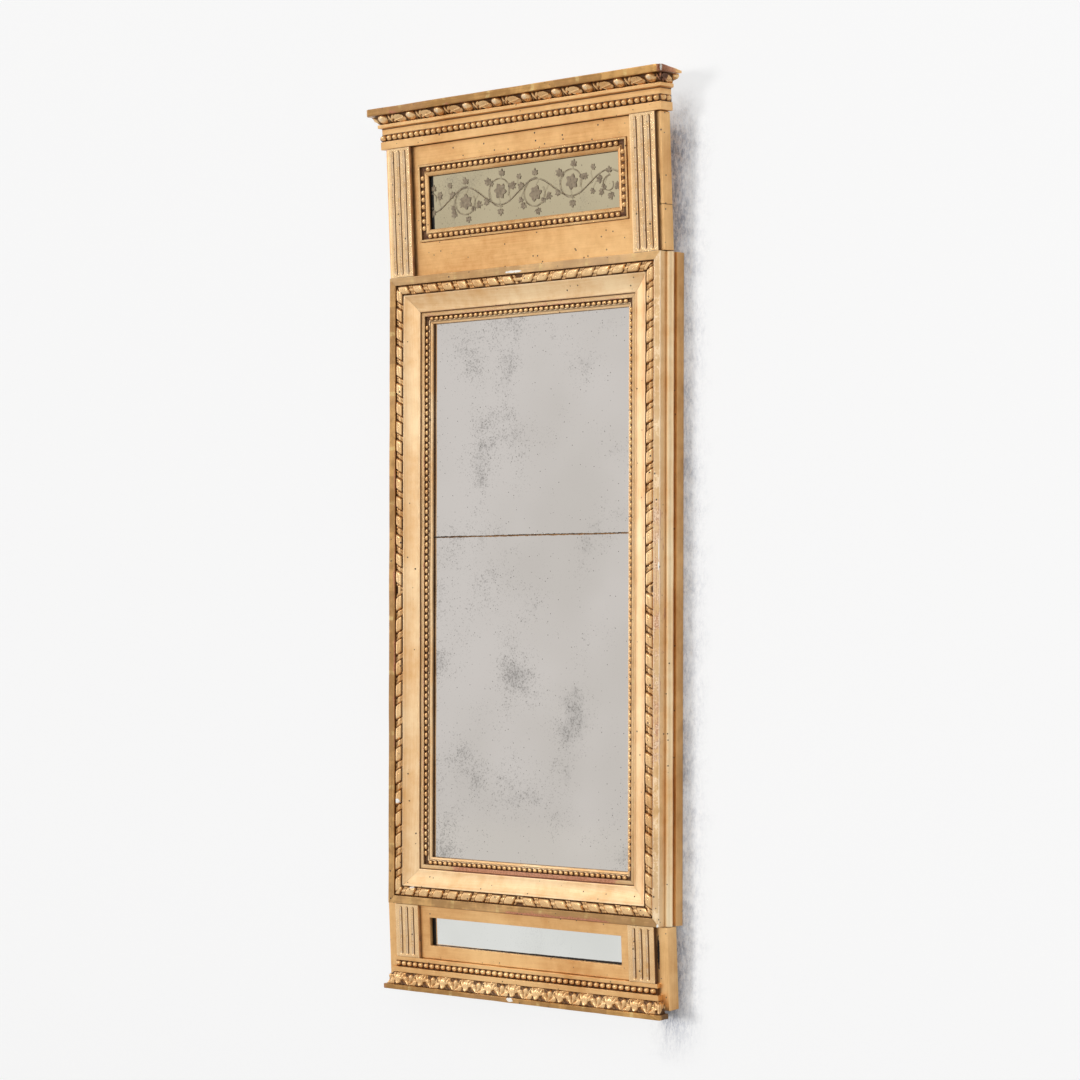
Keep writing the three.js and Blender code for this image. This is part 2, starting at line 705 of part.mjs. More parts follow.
// Row of beads on a bed round a core, with a bead at each corner.
function beadRow(box, z0, z1, bed, out, pitch) {
  const section = (swell) => {
    const crown = bed + (out - bed) * (0.4 + 0.6 * swell);
    const slope = (z1 - z0) * (0.32 - 0.08 * swell);
    return [[0, z0], [bed, z0], [crown, z0 + slope], [crown, z1 - slope], [bed, z1], [0, z1]];
  };
  const places = (from, to) => beadStations(from, to, pitch, section)
    .map(({ at, outline }) => ({ place: at(0), outline }));
  const edge = box.half - FIT;
  const face = places(-edge, edge).map(({ place, outline }) => ({ x: place, outline }));
  const depth = box.rear - FIT - box.front;
  const side = depth < pitch ? [] : places(box.front, box.rear - FIT)
    .map(({ place, outline }) => ({ y: place, outline })).reverse();
  return wrappedRun({ ...box, corner: section(depth < pitch ? 0.8 : 0.4), side, face });
}
piece(
  'cornice_beads',
  beadRow(
    CORNICE,
    Z_BEADS,
    Z_FASCIA - FIT,
    ARCHITRAVE_OUT - 1.5,
    CORNICE_BEAD_OUT,
    CORNICE_BEAD_PITCH,
  ),
  GILT_PALE,
  crest,
);

const FASCIA_SECTION = [
  [0, Z_FASCIA],
  [FASCIA_OUT, Z_FASCIA],
  [FASCIA_OUT, Z_LIST],
  [FASCIA_LIST_OUT, Z_LIST + 1.5],
  [FASCIA_LIST_OUT, Z_OVOLO - FIT],
  [0, Z_OVOLO - FIT],
];
piece('cornice_fascia', wrappedRun({ ...CORNICE, corner: FASCIA_SECTION }), GILT, crest);

// Egg-and-leaf moulding: an egg, the dart beside it and a long leaf that
// sweeps to the next egg, cut in an ovolo. A unit is given as the swelling
// at shares of the pitch.
const EGG_UNIT = [
  [0, 1], [0.08, 0.8], [0.135, 0], [0.185, 0.5], [0.24, 0],
  [0.37, 0.95], [0.63, 0.6], [0.865, 0.05], [0.92, 0.8],
];
const LEAF_UNIT = [
  [0, 0.45], [0.16, 0.1], [0.32, 0.95], [0.46, 0.4], [0.62, 1], [0.84, 0.1],
];
function carvedFace(unit, pitch, start, limit, section) {
  const face = [];
  const count = Math.ceil((2 * limit) / pitch) + 1;
  for (let k = 0; k <= count; k += 1) {
    for (const [share, swell] of unit) {
      const x = start + (k + share) * pitch;
      if (Math.abs(x) < limit) {
        face.push({ x, outline: section(swell) });
      }
    }
  }
  return face;
}
function ovoloSection(swell) {
  const z0 = Z_OVOLO;
  const z1 = Z_COVER - FIT;
  const low = FASCIA_LIST_OUT - 2;
  const span = OVOLO_OUT - low;
  return [
    [0, z0],
    [low, z0],
    [low + span * (0.15 + 0.4 * swell), z0 + (z1 - z0) * 0.3],
    [low + span * (0.5 + 0.4 * swell), z0 + (z1 - z0) * 0.7],
    [OVOLO_OUT, z1],
    [0, z1],
  ];
}
const EGGS = Math.round((2 * CORE_HALF) / EGG_PITCH);
const EGG_START = (-EGGS * EGG_PITCH) / 2;
const OVOLO_DEPTH = CREST_DEPTH - CORE_FRONT;
const ovoloSide = [0.75, 0.5, 0.25].map((share, i) => ({
  y: CORE_FRONT + OVOLO_DEPTH * share,
  outline: ovoloSection([0.1, 0.9, 0.1][i]),
}));
piece(
  'egg_and_leaf',
  wrappedRun({
    ...CORNICE,
    corner: ovoloSection(0.8),
    side: ovoloSide,
    face: carvedFace(EGG_UNIT, EGG_PITCH, EGG_START, CORE_HALF - 1, ovoloSection),
  }),
  GILT_PALE,
  crest,
);

// Cover board with rounded front corners.
function coverBoard() {
  const half = CORE_HALF + COVER_OUT;
  const front = CORE_FRONT - COVER_OUT;
  const outline = new THREE.Shape();
  outline.moveTo(-half, COVER_REAR);
  outline.lineTo(-half, front + COVER_CORNER_R);
  outline.absarc(
    COVER_CORNER_R - half,
    front + COVER_CORNER_R,
    COVER_CORNER_R,
    Math.PI,
    1.5 * Math.PI,
  );
  outline.lineTo(half - COVER_CORNER_R, front);
  outline.absarc(
    half - COVER_CORNER_R,
    front + COVER_CORNER_R,
    COVER_CORNER_R,
    1.5 * Math.PI,
    2 * Math.PI,
  );
  outline.lineTo(half, COVER_REAR);
  return new THREE.ExtrudeGeometry(outline, {
    depth: COVER_H,
    bevelEnabled: false,
    curveSegments: 5,
  });
}
piece('cornice_cover', coverBoard(), GILT_DARK, crest, 0, 0, Z_COVER);

// ------------------------------------------------------------------ base
// The base leans back below, so its boards' heads are planed to the underside
// of the main frame.
const base = new THREE.Group();
base.position.z = -FRAME_TOP;
base.rotation.x = LEAN;
model.add(base);

const head = (y) => -FIT - y * Math.tan(LEAN);
const underFrame = (x0, x1, y0, y1, z0) =>
  alongX(x0, x1, [[y0, z0], [y0, head(y0)], [y1, head(y1)], [y1, z0]]);

const BASE_PILASTER_T = BASE_SIDE_FRONT - FIT - BASE_FACE;
const BASE_PILASTER_X = BASE_PILASTER_IN + BASE_PILASTER_W / 2;
const Z_BAND = -BASE_PANEL_H - FIT;
const BASE_PILASTER_H = -Z_BAND - FIT + head(BASE_SIDE_FRONT);
const basePilaster = () => pilaster(
  BASE_PILASTER_W,
  BASE_PILASTER_H,
  BASE_FACE,
  BASE_PILASTER_T,
);
const BASE_PILASTER_Z = Z_BAND + FIT;
piece('base_pilaster_left', basePilaster(), GILT, base, -BASE_PILASTER_X, 0, BASE_PILASTER_Z);
piece('base_pilaster_right', basePilaster(), GILT, base, BASE_PILASTER_X, 0, BASE_PILASTER_Z);

function baseSide(sign) {
  const [x0, x1] = [sign * BASE_PILASTER_IN, sign * BASE_HALF].sort((a, b) => a - b);
  return underFrame(x0, x1, BASE_SIDE_FRONT, BASE_DEPTH, -BASE_SIDE_H);
}
piece('base_side_left', baseSide(-1), GILT, base);
piece('base_side_right', baseSide(1), GILT_DARK, base);

// Bevelled panel round the narrow plate: a rebated frame whose rails and
// sides differ a little in width, so the mitre lines don't run at 45 degrees.
const PANEL_HEAD = head(BASE_PANEL_REAR);
const BASE_OPEN_TOP = PANEL_HEAD - BASE_RAIL_TOP;
const BASE_OPEN_FOOT = -BASE_PANEL_H + BASE_RAIL_FOOT;
const BASE_OPEN_MID = (BASE_OPEN_TOP + BASE_OPEN_FOOT) / 2;
const BASE_PANEL_HALF = BASE_PILASTER_IN - FIT;
const BASE_GLASS_FRONT = BASE_PANEL_FACE + BASE_BEVEL + BASE_LIP_T + FIT;
function basePanel() {
  const back = SMALL_REBATE_W / BASE_RAIL_SIDE;
  const outline = [
    [0, BASE_PANEL_FACE],
    [1, BASE_PANEL_FACE + BASE_BEVEL],
    [1, BASE_GLASS_FRONT - FIT],
    [1 - back, BASE_GLASS_FRONT - FIT],
    [1 - back, BASE_PANEL_REAR],
    [0, BASE_PANEL_REAR],
  ];
  const corners = [[-1, 1], [1, 1], [1, -1], [-1, -1]];
  const rings = corners.map(([sx, sz]) => outline.map(([share, y]) => [
    sx * (BASE_PANEL_HALF - share * BASE_RAIL_SIDE),
    y,
    sz > 0 ? PANEL_HEAD - share * BASE_RAIL_TOP : -BASE_PANEL_H + share * BASE_RAIL_FOOT,
  ]));
  return loft(rings, outline, true);
}
piece('base_panel', basePanel(), GILT, base);

const B_PLATE_W = 2 * (BASE_PANEL_HALF - BASE_RAIL_SIDE + SMALL_REBATE_W);
const B_PLATE_H = BASE_OPEN_TOP - BASE_OPEN_FOOT + 2 * SMALL_REBATE_W;
piece(
  'base_glass',
  smallPlate(B_PLATE_W, B_PLATE_H, BASE_GLASS_FRONT, BASE_OPEN_MID),
  MIRROR,
  base,
);
const B_BOARD_FRONT = BASE_GLASS_FRONT + SMALL_GLASS_T + FIT;
piece(
  'base_backboard',
  fieldedBoard(
    B_PLATE_W,
    B_PLATE_H,
    B_BOARD_FRONT,
    BASE_PANEL_REAR,
    BASE_OPEN_MID,
    BASE_PANEL_HALF - BASE_BOARD_INSET,
    BASE_BOARD_PAST,
  ),
  PINE,
  base,
);

// Core under the panel, and the mouldings that run round it to the side
// boards with short returns.
const Z_PBEADS = Z_BAND - PLINTH_BAND_H;
const Z_PFASCIA = Z_PBEADS - PLINTH_BEAD_H;
const Z_LEAF = Z_PFASCIA - PLINTH_FASCIA_H;
const Z_FOOT = Z_LEAF - LEAF_H;
const Z_END = Z_FOOT - FOOT_H;
const baseCoreHalf = BASE_PILASTER_IN - FIT;
piece(
  'base_core',
  board(-baseCoreHalf, baseCoreHalf, BASE_SIDE_FRONT, BASE_DEPTH, Z_END, Z_BAND),
  PINE,
  base,
);
const PLINTH = { half: PLINTH_HALF, front: PLINTH_FRONT - FIT, rear: PLINTH_FRONT };
const plinthBand = (out, z0, z1) => wrappedRun({ ...PLINTH, corner: bandSection(out, z0, z1) });
piece('base_band', plinthBand(PLINTH_BAND_OUT, Z_PBEADS + FIT, Z_BAND), GILT, base);
piece(
  'base_beads',
  beadRow(
    PLINTH,
    Z_PFASCIA + FIT,
    Z_PBEADS,
    PLINTH_BAND_OUT - 2,
    PLINTH_BEAD_OUT,
    CORNICE_BEAD_PITCH,
  ),
  GILT_PALE,
  base,
);
piece('base_fascia', plinthBand(PLINTH_FASCIA_OUT, Z_LEAF + FIT, Z_PFASCIA), GILT, base);

function leafSection(swell) {
  const z0 = Z_FOOT + FIT;
  const z1 = Z_LEAF;
  const out = LEAF_OUT - PLINTH_FASCIA_OUT;
  return [
    [0, z0],
    [LEAF_OUT, z0],
    [PLINTH_FASCIA_OUT + out * (0.45 + 0.45 * swell), z0 + (z1 - z0) * 0.33],
    [PLINTH_FASCIA_OUT + out * (0.1 + 0.5 * swell), z0 + (z1 - z0) * 0.68],
    [PLINTH_FASCIA_OUT - 1, z1],
    [0, z1],
  ];
}
const LEAVES = Math.floor(PLINTH_HALF / LEAF_PITCH);
const LEAF_START = -(LEAVES + 1) * LEAF_PITCH - LEAF_PITCH / 4;
piece(
  'base_leaves',
  wrappedRun({
    ...PLINTH,
    corner: leafSection(0.5),
    face: carvedFace(LEAF_UNIT, LEAF_PITCH, LEAF_START, PLINTH_HALF - 1, leafSection),
  }),
  GILT_PALE,
  base,
);
piece('base_foot', plinthBand(FOOT_OUT, Z_END, Z_FOOT), GILT_DARK, base);

// ---------------------------------------------------------- hanging ring
// Staple: a plate on the cornice core's rear with an eye of bent wire.
function stapleEye(y0) {
  const path = new THREE.CurvePath();
  const up = new THREE.Vector3(0, y0, STAPLE_HALF);
  const turnUp = new THREE.Vector3(0, y0 + STAPLE_REACH, STAPLE_HALF);
  const turnDown = new THREE.Vector3(0, y0 + STAPLE_REACH, -STAPLE_HALF);
  const down = new THREE.Vector3(0, y0, -STAPLE_HALF);
  const points = [up, turnUp];
  const steps = 8;
  for (let i = 1; i < steps; i += 1) {
    const angle = Math.PI / 2 - (Math.PI * i) / steps;
    const y = y0 + STAPLE_REACH + STAPLE_HALF * Math.cos(angle);
    points.push(new THREE.Vector3(0, y, STAPLE_HALF * Math.sin(angle)));
  }
  points.push(turnDown, down);
  const n = 8;
  const rings = points.map((p, i) => {
    const before = points[Math.max(i - 1, 0)];
    const after = points[Math.min(i + 1, points.length - 1)];
    const along = after.clone().sub(before).normalize();
    const out = new THREE.Vector3(1, 0, 0).cross(along);
    return Array.from({ length: n }, (_, k) => {
      const turn = (2 * Math.PI * k) / n;
      const x = STAPLE_WIRE * Math.cos(turn);
      const r = STAPLE_WIRE * Math.sin(turn);
      return [x, p.y + out.y * r, p.z + out.z * r];
    });
  });
  const circle = Array.from({ length: n }, (_, k) => {
    const turn = (2 * Math.PI * k) / n;
    return [Math.cos(turn), Math.sin(turn)];
  });
  return loft(rings, circle);
}
const PLATE_Y = CREST_DEPTH + FIT;
function ringStaple() {
  const [w, t, h] = STAPLE_PLATE;
  const plate = board(-w / 2, w / 2, PLATE_Y, PLATE_Y + t, -h / 2, h / 2);
  return join(plate, stapleEye(PLATE_Y + t / 2));
}
piece('ring_staple', ringStaple(), IRON, crest, 0, 0, STAPLE_Z);

// The ring hangs plumb with its wire on the eye's lower turn.
const EYE_Y = PLATE_Y + STAPLE_PLATE[1] / 2 + STAPLE_REACH;
const EYE_DROP = STAPLE_HALF - STAPLE_WIRE - RING_WIRE - FIT;
function hangingRing() {
  const n = 8;
  const steps = 20;
  const rings = Array.from({ length: steps }, (_, i) => {
    const turn = (2 * Math.PI * i) / steps;
    return Array.from({ length: n }, (__, k) => {
      const around = (2 * Math.PI * k) / n;
      const r = RING_R + RING_WIRE * Math.cos(around);
      const y = RING_WIRE * Math.sin(around);
      return [r * Math.sin(turn), y, r * Math.cos(turn) - RING_R];
    });
  });
  const circle = Array.from({ length: n }, (_, k) => {
    const around = (2 * Math.PI * k) / n;
    return [Math.cos(around), Math.sin(around)];
  });
  return loft(rings, circle, true);
}
const ring = piece(
  'hanging_ring',
  hangingRing(),
  IRON,
  crest,
  0,
  EYE_Y,
  STAPLE_Z - EYE_DROP,
);
ring.rotation.x = -LEAN;

// The group's own origin is the main frame's middle in the fillet's plane.
model.position.set(0, -FRAME_DEPTH, -RAIL_MID);
const part = new THREE.Group();
part.add(model);
export default part;
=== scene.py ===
from math import pi, radians

import bmesh
import bpy
import numpy as np
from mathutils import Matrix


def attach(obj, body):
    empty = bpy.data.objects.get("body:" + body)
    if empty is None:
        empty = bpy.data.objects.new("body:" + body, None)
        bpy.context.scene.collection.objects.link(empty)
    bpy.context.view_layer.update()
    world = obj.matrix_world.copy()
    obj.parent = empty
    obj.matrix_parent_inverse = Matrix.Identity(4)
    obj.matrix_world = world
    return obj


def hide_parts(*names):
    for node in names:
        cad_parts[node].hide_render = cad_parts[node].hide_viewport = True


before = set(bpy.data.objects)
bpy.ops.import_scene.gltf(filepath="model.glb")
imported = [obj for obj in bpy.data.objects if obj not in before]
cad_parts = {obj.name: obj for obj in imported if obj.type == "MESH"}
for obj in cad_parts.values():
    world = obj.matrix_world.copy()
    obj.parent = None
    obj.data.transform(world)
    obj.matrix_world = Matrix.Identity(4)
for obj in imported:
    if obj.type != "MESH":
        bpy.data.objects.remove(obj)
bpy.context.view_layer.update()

# ------------------------------------------------------------ the room
# The mirror hangs on a white plastered wall over a pale floor, in soft light
# from the left. The wall can't be seen from behind, so the back shows too.

def added(name, data):
    """A new object of this data, put in the scene."""
    thing = bpy.data.objects.new(name, data)
    bpy.context.scene.collection.objects.link(thing)
    return thing


lens = bpy.data.cameras.new("camera")
lens.lens, lens.shift_y = 94.48, 0.072
camera = added("camera", lens)
camera.location = (2.5443, -2.9454, -0.4452)
camera.rotation_euler = (pi / 2, -0.0022, 0.7117)
bpy.context.scene.camera = camera
bpy.context.scene.view_settings.view_transform = "Standard"


def tint(code):
    """A colour written as six hex digits of sRGB, as linear light with alpha 1."""
    parts = np.array([int(code[i : i + 2], 16) / 255 for i in (0, 2, 4)])
    light = np.where(parts > 0.04045, ((parts + 0.055) / 1.055) ** 2.4, parts / 12.92)
    return (*light.tolist(), 1.0)


class Amount:
    """A value in a material: arithmetic on it adds Math nodes."""

    def __init__(self, paint, socket):
        self.paint, self.socket = paint, socket

    def math(self, operation, *others):
        values = dict(enumerate((self, *others)))
        return self.paint.make("ShaderNodeMath", {"operation": operation}, values)

    def __add__(self, other):
        return self.math("ADD", other)

    def __sub__(self, other):
        return self.math("SUBTRACT", other)

    def __mul__(self, other):
        return self.math("MULTIPLY", other)

    def __truediv__(self, other):
        return self.math("DIVIDE", other)

    def __pow__(self, other):
        return self.math("POWER", other)

    __radd__, __rmul__ = __add__, __mul__

    def __rsub__(self, other):
        return self * -1 + other

    def over(self, start, end):
        """0 where the value is below start, 1 above end, smooth between."""
        return self.paint.make(
            "ShaderNodeMapRange",
            {"interpolation_type": "SMOOTHSTEP"},
            {"Value": self, "From Min": start, "From Max": end},
        )


class Paint:
    """One material's node tree."""

    def __init__(self, owner, output="ShaderNodeOutputMaterial"):
        owner.use_nodes = True
        self.owner, self.tree = owner, owner.node_tree
        self.tree.nodes.clear()
        self.end = self.tree.nodes.new(output)

    def make(self, kind, settings=None, sockets=None, out=0):
        node = self.tree.nodes.new(kind)
        for key, value in (settings or {}).items():
            setattr(node, key, value)
        for key, value in (sockets or {}).items():
            if isinstance(value, Amount):
                self.tree.links.new(value.socket, node.inputs[key])
            else:
                node.inputs[key].default_value = value
        return Amount(self, node.outputs[out])

    def show(self, shader):
        self.tree.links.new(shader.socket, self.end.inputs["Surface"])
        return self.owner

    def coords(self, kind="Object"):
        return self.make("ShaderNodeTexCoord", out=kind)

    def split(self, value, k, kind="XYZ"):
        """One of a place's three numbers, or with "Color" of a colour's."""
        return self.make("ShaderNodeSeparate" + kind, None, {0: value}, k)

    def ray(self, kind):
        return self.make("ShaderNodeLightPath", out=f"Is {kind} Ray")

    def noise(self, place, scale, detail=3.0, rough=0.55):
        sockets = {"Vector": place, "Scale": scale, "Detail": detail, "Roughness": rough}
        return self.make("ShaderNodeTexNoise", None, sockets)

    def stretched(self, place, scale):
        return self.make("ShaderNodeMapping", None, {"Vector": place, "Scale": scale})

    def cells(self, place, scale):
        """How far the nearest of many scattered points is, and two random
        numbers that belong to that point."""
        sockets = {"Vector": place, "Scale": scale, "Randomness": 1.0}
        near = self.make("ShaderNodeTexVoronoi", None, sockets)
        pick = self.make("ShaderNodeTexVoronoi", None, sockets, "Color")
        return near, self.split(pick, 0, "Color"), self.split(pick, 1, "Color")

    def mix(self, share, first, second):
        """The second colour over the first, by its share."""
        first, second = (tint(c) if isinstance(c, str) else c for c in (first, second))
        settings = {"data_type": "RGBA"}
        return self.make("ShaderNodeMix", settings, {0: share, 6: first, 7: second}, 2)

    def bump(self, height, strength, distance):
        sockets = {"Height": height, "Strength": strength, "Distance": distance}
        return self.make("ShaderNodeBump", None, sockets)

    def surface(self, colour, rough, **others):
        """The finished material, from its colour, roughness and other inputs."""
        sockets = {"Base Color": colour, "Roughness": rough, **others}
        return self.show(self.make("ShaderNodeBsdfPrincipled", None, sockets))


def rectangle(name, corners, material):
    """A flat stage piece through four corners."""
    mesh = bpy.data.meshes.new(name)
    mesh.from_pydata(corners, [], [(0, 1, 2, 3)])
    mesh.materials.append(material)
    thing = added(name, mesh)
    return thing


def plaster(name, colour, relief, glow, painted_shadow=0.0):
    """Rough white plaster. The camera and gloss see some of it as plain white,
    and from behind it can't be seen. With a strength given, a painted shadow of
    the mirror lies in a band on the right of the mirror: mottled blue-grey with
    darker pits, where the white glow is turned down."""
    p = Paint(bpy.data.materials.new(name))
    place = p.coords()
    trowel = p.noise(place, 38, 5, 0.62) + p.noise(p.stretched(place, (2, 1, 1)), 7, 2) * 1.6
    tone = p.mix(p.noise(place, 1.1, 2), colour, "F9F9F9")
    # Painted shadow of the mirror on the wall: a mottled blue-grey band on its right, with darker
    # pits; the white glow is turned down there.
    if painted_shadow:
        x, z = p.split(place, 0), p.split(place, 2)
        drawn = p.stretched(place, (1.9, 1, 0.8))
        rag = (p.noise(place, 26, 4, 0.7) - 0.5) * 0.05
        strip = (x + rag).over(0.19, 0.225) * (1 - (x + rag).over(0.232, 0.305))
        strip = strip * (1 - (z + rag).over(0.18, 0.26)) * (z + rag).over(-1.05, -0.95)
        rough_cast = p.noise(drawn, 105, 7, 0.82).over(0.42, 0.58)
        tone = p.mix(strip * (rough_cast * 0.75 + 0.25) * painted_shadow, tone, "6A7694")
        pits = p.noise(drawn, 150, 3, 0.8) + (1 - rough_cast) * -0.12
        tone = p.mix(pits.over(0.58, 0.63) * strip * 0.7, tone, "4E525C")
        glow = glow * (1 - strip * 0.9)
        trowel = trowel * (strip * 0.9 + 0.1)
    normal = p.bump(trowel, relief, 0.006)
    matt = p.make("ShaderNodeBsdfDiffuse", None, {"Color": tone, "Normal": normal})
    seen = (p.ray("Camera") + p.ray("Glossy") + p.ray("Transmission")).math("MINIMUM", 1)
    white = p.make("ShaderNodeEmission", None, {"Color": tint("F7F7F7"), "Strength": seen})
    lit = p.make("ShaderNodeMixShader", None, {0: glow, 1: matt, 2: white})
    behind = p.make("ShaderNodeNewGeometry", out="Backfacing")
    clear = p.make("ShaderNodeBsdfTransparent")
    return p.show(p.make("ShaderNodeMixShader", None, {0: behind, 1: lit, 2: clear}))


FAR, WALL_Y, FLOOR_Z = 9, 0.0015, -1.6
# The last number given to the plaster is the strength of its painted shadow.
wall = rectangle(
    "wall",
    [(x, WALL_Y, z) for x, z in ((-FAR, FLOOR_Z), (FAR, FLOOR_Z), (FAR, 3.4), (-FAR, 3.4))],
    plaster("plaster", "FDFCFA", 0.8, 0.80, 0.84),
)
wall.visible_shadow = wall.visible_diffuse = False
rectangle(
    "floor",
    [(x, y, FLOOR_Z) for x, y in ((-FAR, -FAR), (FAR, -FAR), (FAR, FAR), (-FAR, FAR))],
    plaster("pale_floor", "EDECEA", 0.02, 0.75),
)


def lamp(name, kind, place, size, power):
    """A soft white lamp at place, turned towards the mirror. Its size is in
    metres, or for a far lamp the angle in degrees that it fills."""
    data = bpy.data.lights.new(name, kind)
    data.energy = power
    if kind == "SUN":
        data.angle = radians(size)
    else:
        data.size = size
    thing = added(name, data)
    thing.location = place
    away = np.array(place) - (0, 0, -0.35)
    across, up = float(np.hypot(away[0], away[1])), float(away[2])
    thing.rotation_euler = (np.arctan2(across, up), 0, np.arctan2(away[0], -away[1]))
    thing.visible_camera = thing.visible_glossy = False


lamp("key", "SUN", (-1.35, -2.2, -0.22), 15, 2.15)
lamp("fill", "AREA", (2.8, -1.2, 0.6), 1.6, 9)
lamp("back", "AREA", (1.2, 2.6, 1.2), 1.8, 44)

world = bpy.data.worlds.new("studio")
bpy.context.scene.world = world
p = Paint(world, "ShaderNodeOutputWorld")
axis = [p.split(p.coords("Generated"), k) for k in range(3)]
facing = (axis[1] * -1).over(0.74, 1.0) * 0.42 + (axis[0] * -1).over(0.72, 0.95) * 1.1
window = (axis[0] * -0.29 - axis[1] * 0.79 + axis[2] * 0.54).over(0.955, 0.99) * 4.5
height = axis[2].over(0.3, 0.8) * 0.3 - (axis[2] * -1).over(0.1, 0.8) * 0.6
room = 0.81 + facing + window + height - axis[0].over(0.3, 0.95) * 0.12
around = axis[0].over(0.0, 0.9) * 0.45 + 0.45
plain, glossy = (p.ray("Camera") + p.ray("Transmission")).math("MINIMUM", 1), p.ray("Glossy")
strength = plain * 0.97 + glossy * room + (1 - plain - glossy) * around
p.show(p.make("ShaderNodeBackground", None, {"Color": tint("FBFBFD"), "Strength": strength}))

# ------------------------------------------------- main frame: mouldings
# Four mitred lengths of pine moulding, gessoed, laid with red bole and water
# gilt: outer fillet, ribbon channel, hollow frieze, inner fillet, bead channel
# and sight edge. Leaf laps show as paler bands every 80 mm on the fillets.
WIDTH, HEIGHT = 489.4, 885.0
SIDES = {"top": 0.0, "right": pi / 2, "bottom": pi, "left": -pi / 2}
LEAN = radians(3)
MAIN, CREST, BASE = (-407.2, 0.0), (35.3, LEAN), (-849.7, LEAN)


def stand(points, part):
    """Millimetres across, deep and up in a part's own frame, as metres in the
    row frame: turned about X by the part's lean, then moved to its head."""
    x, d, z = np.moveaxis(np.asarray(points, float), -1, 0)
    head, lean = part
    c, s = np.cos(lean), np.sin(lean)
    return np.stack([x, d * c - z * s - 40, d * s + z * c + head], -1) / 1000


def places(x, d, z):
    """Points from their three coordinates, each spread over the same grid."""
    return np.stack(np.broadcast_arrays(x, d, z), -1)


def wander(x, seed, size):
    """Uneven handwork: four sine waves of random length and phase, added."""
    rng = np.random.default_rng(seed)
    lengths, phases = rng.uniform(35, 190, 4), rng.uniform(0, 2 * pi, 4)
    return size * sum(np.sin(2 * pi * x / n + f) for n, f in zip(lengths, phases)) / 2


def eased(outline, radius):
    """A closed outline with each corner rounded by a quadratic curve that
    starts and ends a radius away from it, and one more point on the flat on
    either side. Gives the points and how near each is to a corner, 0 to 1."""
    points = np.asarray(outline, float)
    legs = [np.roll(points, turn, 0) - points for turn in (1, -1)]
    sizes = [np.linalg.norm(leg, axis=1)[:, None] for leg in legs]
    before, after = (
        leg / size * np.minimum(radius, 0.17 * size) for leg, size in zip(legs, sizes)
    )
    rows = [2.6 * before, before, 0.25 * (before + after), after, 2.6 * after]
    near = np.tile([0, 0.6, 1, 0.6, 0], len(points))
    return (points + np.stack(rows)).transpose(1, 0, 2).reshape(-1, 2), near


def relief_of(outline, reach=5.0, fall=2.6):
    """How open each point of a section lies, from 0 to 1: it falls with the
    depth behind the foremost point within reach."""
    a, d = outline.T
    near = np.abs(a[:, None] - a[None, :]) < reach
    top = np.where(near, d[None, :], np.inf).min(1)
    return np.exp(-(d - top) / fall)


def crevices(outline, near):
    """1 at a section's hollow corners: there the turn from edge to edge goes
    against the way round that the signed area gives."""
    a, d = outline.T
    before, after = outline - np.roll(outline, 1, 0), np.roll(outline, -1, 0) - outline
    turn = before[:, 0] * after[:, 1] - before[:, 1] * after[:, 0]
    area = (a * np.roll(d, -1) - d * np.roll(a, -1)).sum()
    return near * (turn * np.sign(area) < -1e-4)


def soft_box(x, z, x0, x1, z0, z1, blur=14.0):
    """1 inside a rectangle, falling smoothly to 0 over a blur outside it."""
    past_x, past_z = np.maximum(x0 - x, x - x1), np.maximum(z0 - z, z - z1)
    gap = np.hypot(np.maximum(0, past_x), np.maximum(0, past_z))
    return np.exp(-((gap / blur) ** 2))


def grid_uv(points):
    """Metres along the run and round the section, for every grid point."""
    along = np.linalg.norm(np.diff(points, axis=0), axis=-1).cumsum(0)
    round_ = np.linalg.norm(np.diff(points, axis=1), axis=-1).cumsum(1)
    u = np.vstack([np.zeros((1, points.shape[1])), along])
    v = np.hstack([np.zeros((points.shape[0], 1)), round_])
    return np.stack([u - u[-1:] / 2, v], -1)


EDGE_SCALE = 4


def mark_mesh(mesh, uvs, marks):
    """The uv of each corner, and each point's marks: four in one attribute,
    the edge's divided by EDGE_SCALE because alpha stops at 1, and the laps."""
    mesh.uv_layers.new(name="run").data.foreach_set("uv", uvs.astype(np.float32).ravel())
    layer = mesh.attributes.new("marks", "FLOAT_COLOR", "POINT")
    layer.data.foreach_set("color", marks[:, :4].astype(np.float32).ravel())
    layer = mesh.attributes.new("laps", "FLOAT", "POINT")
    layer.data.foreach_set("value", marks[:, 4].astype(np.float32))


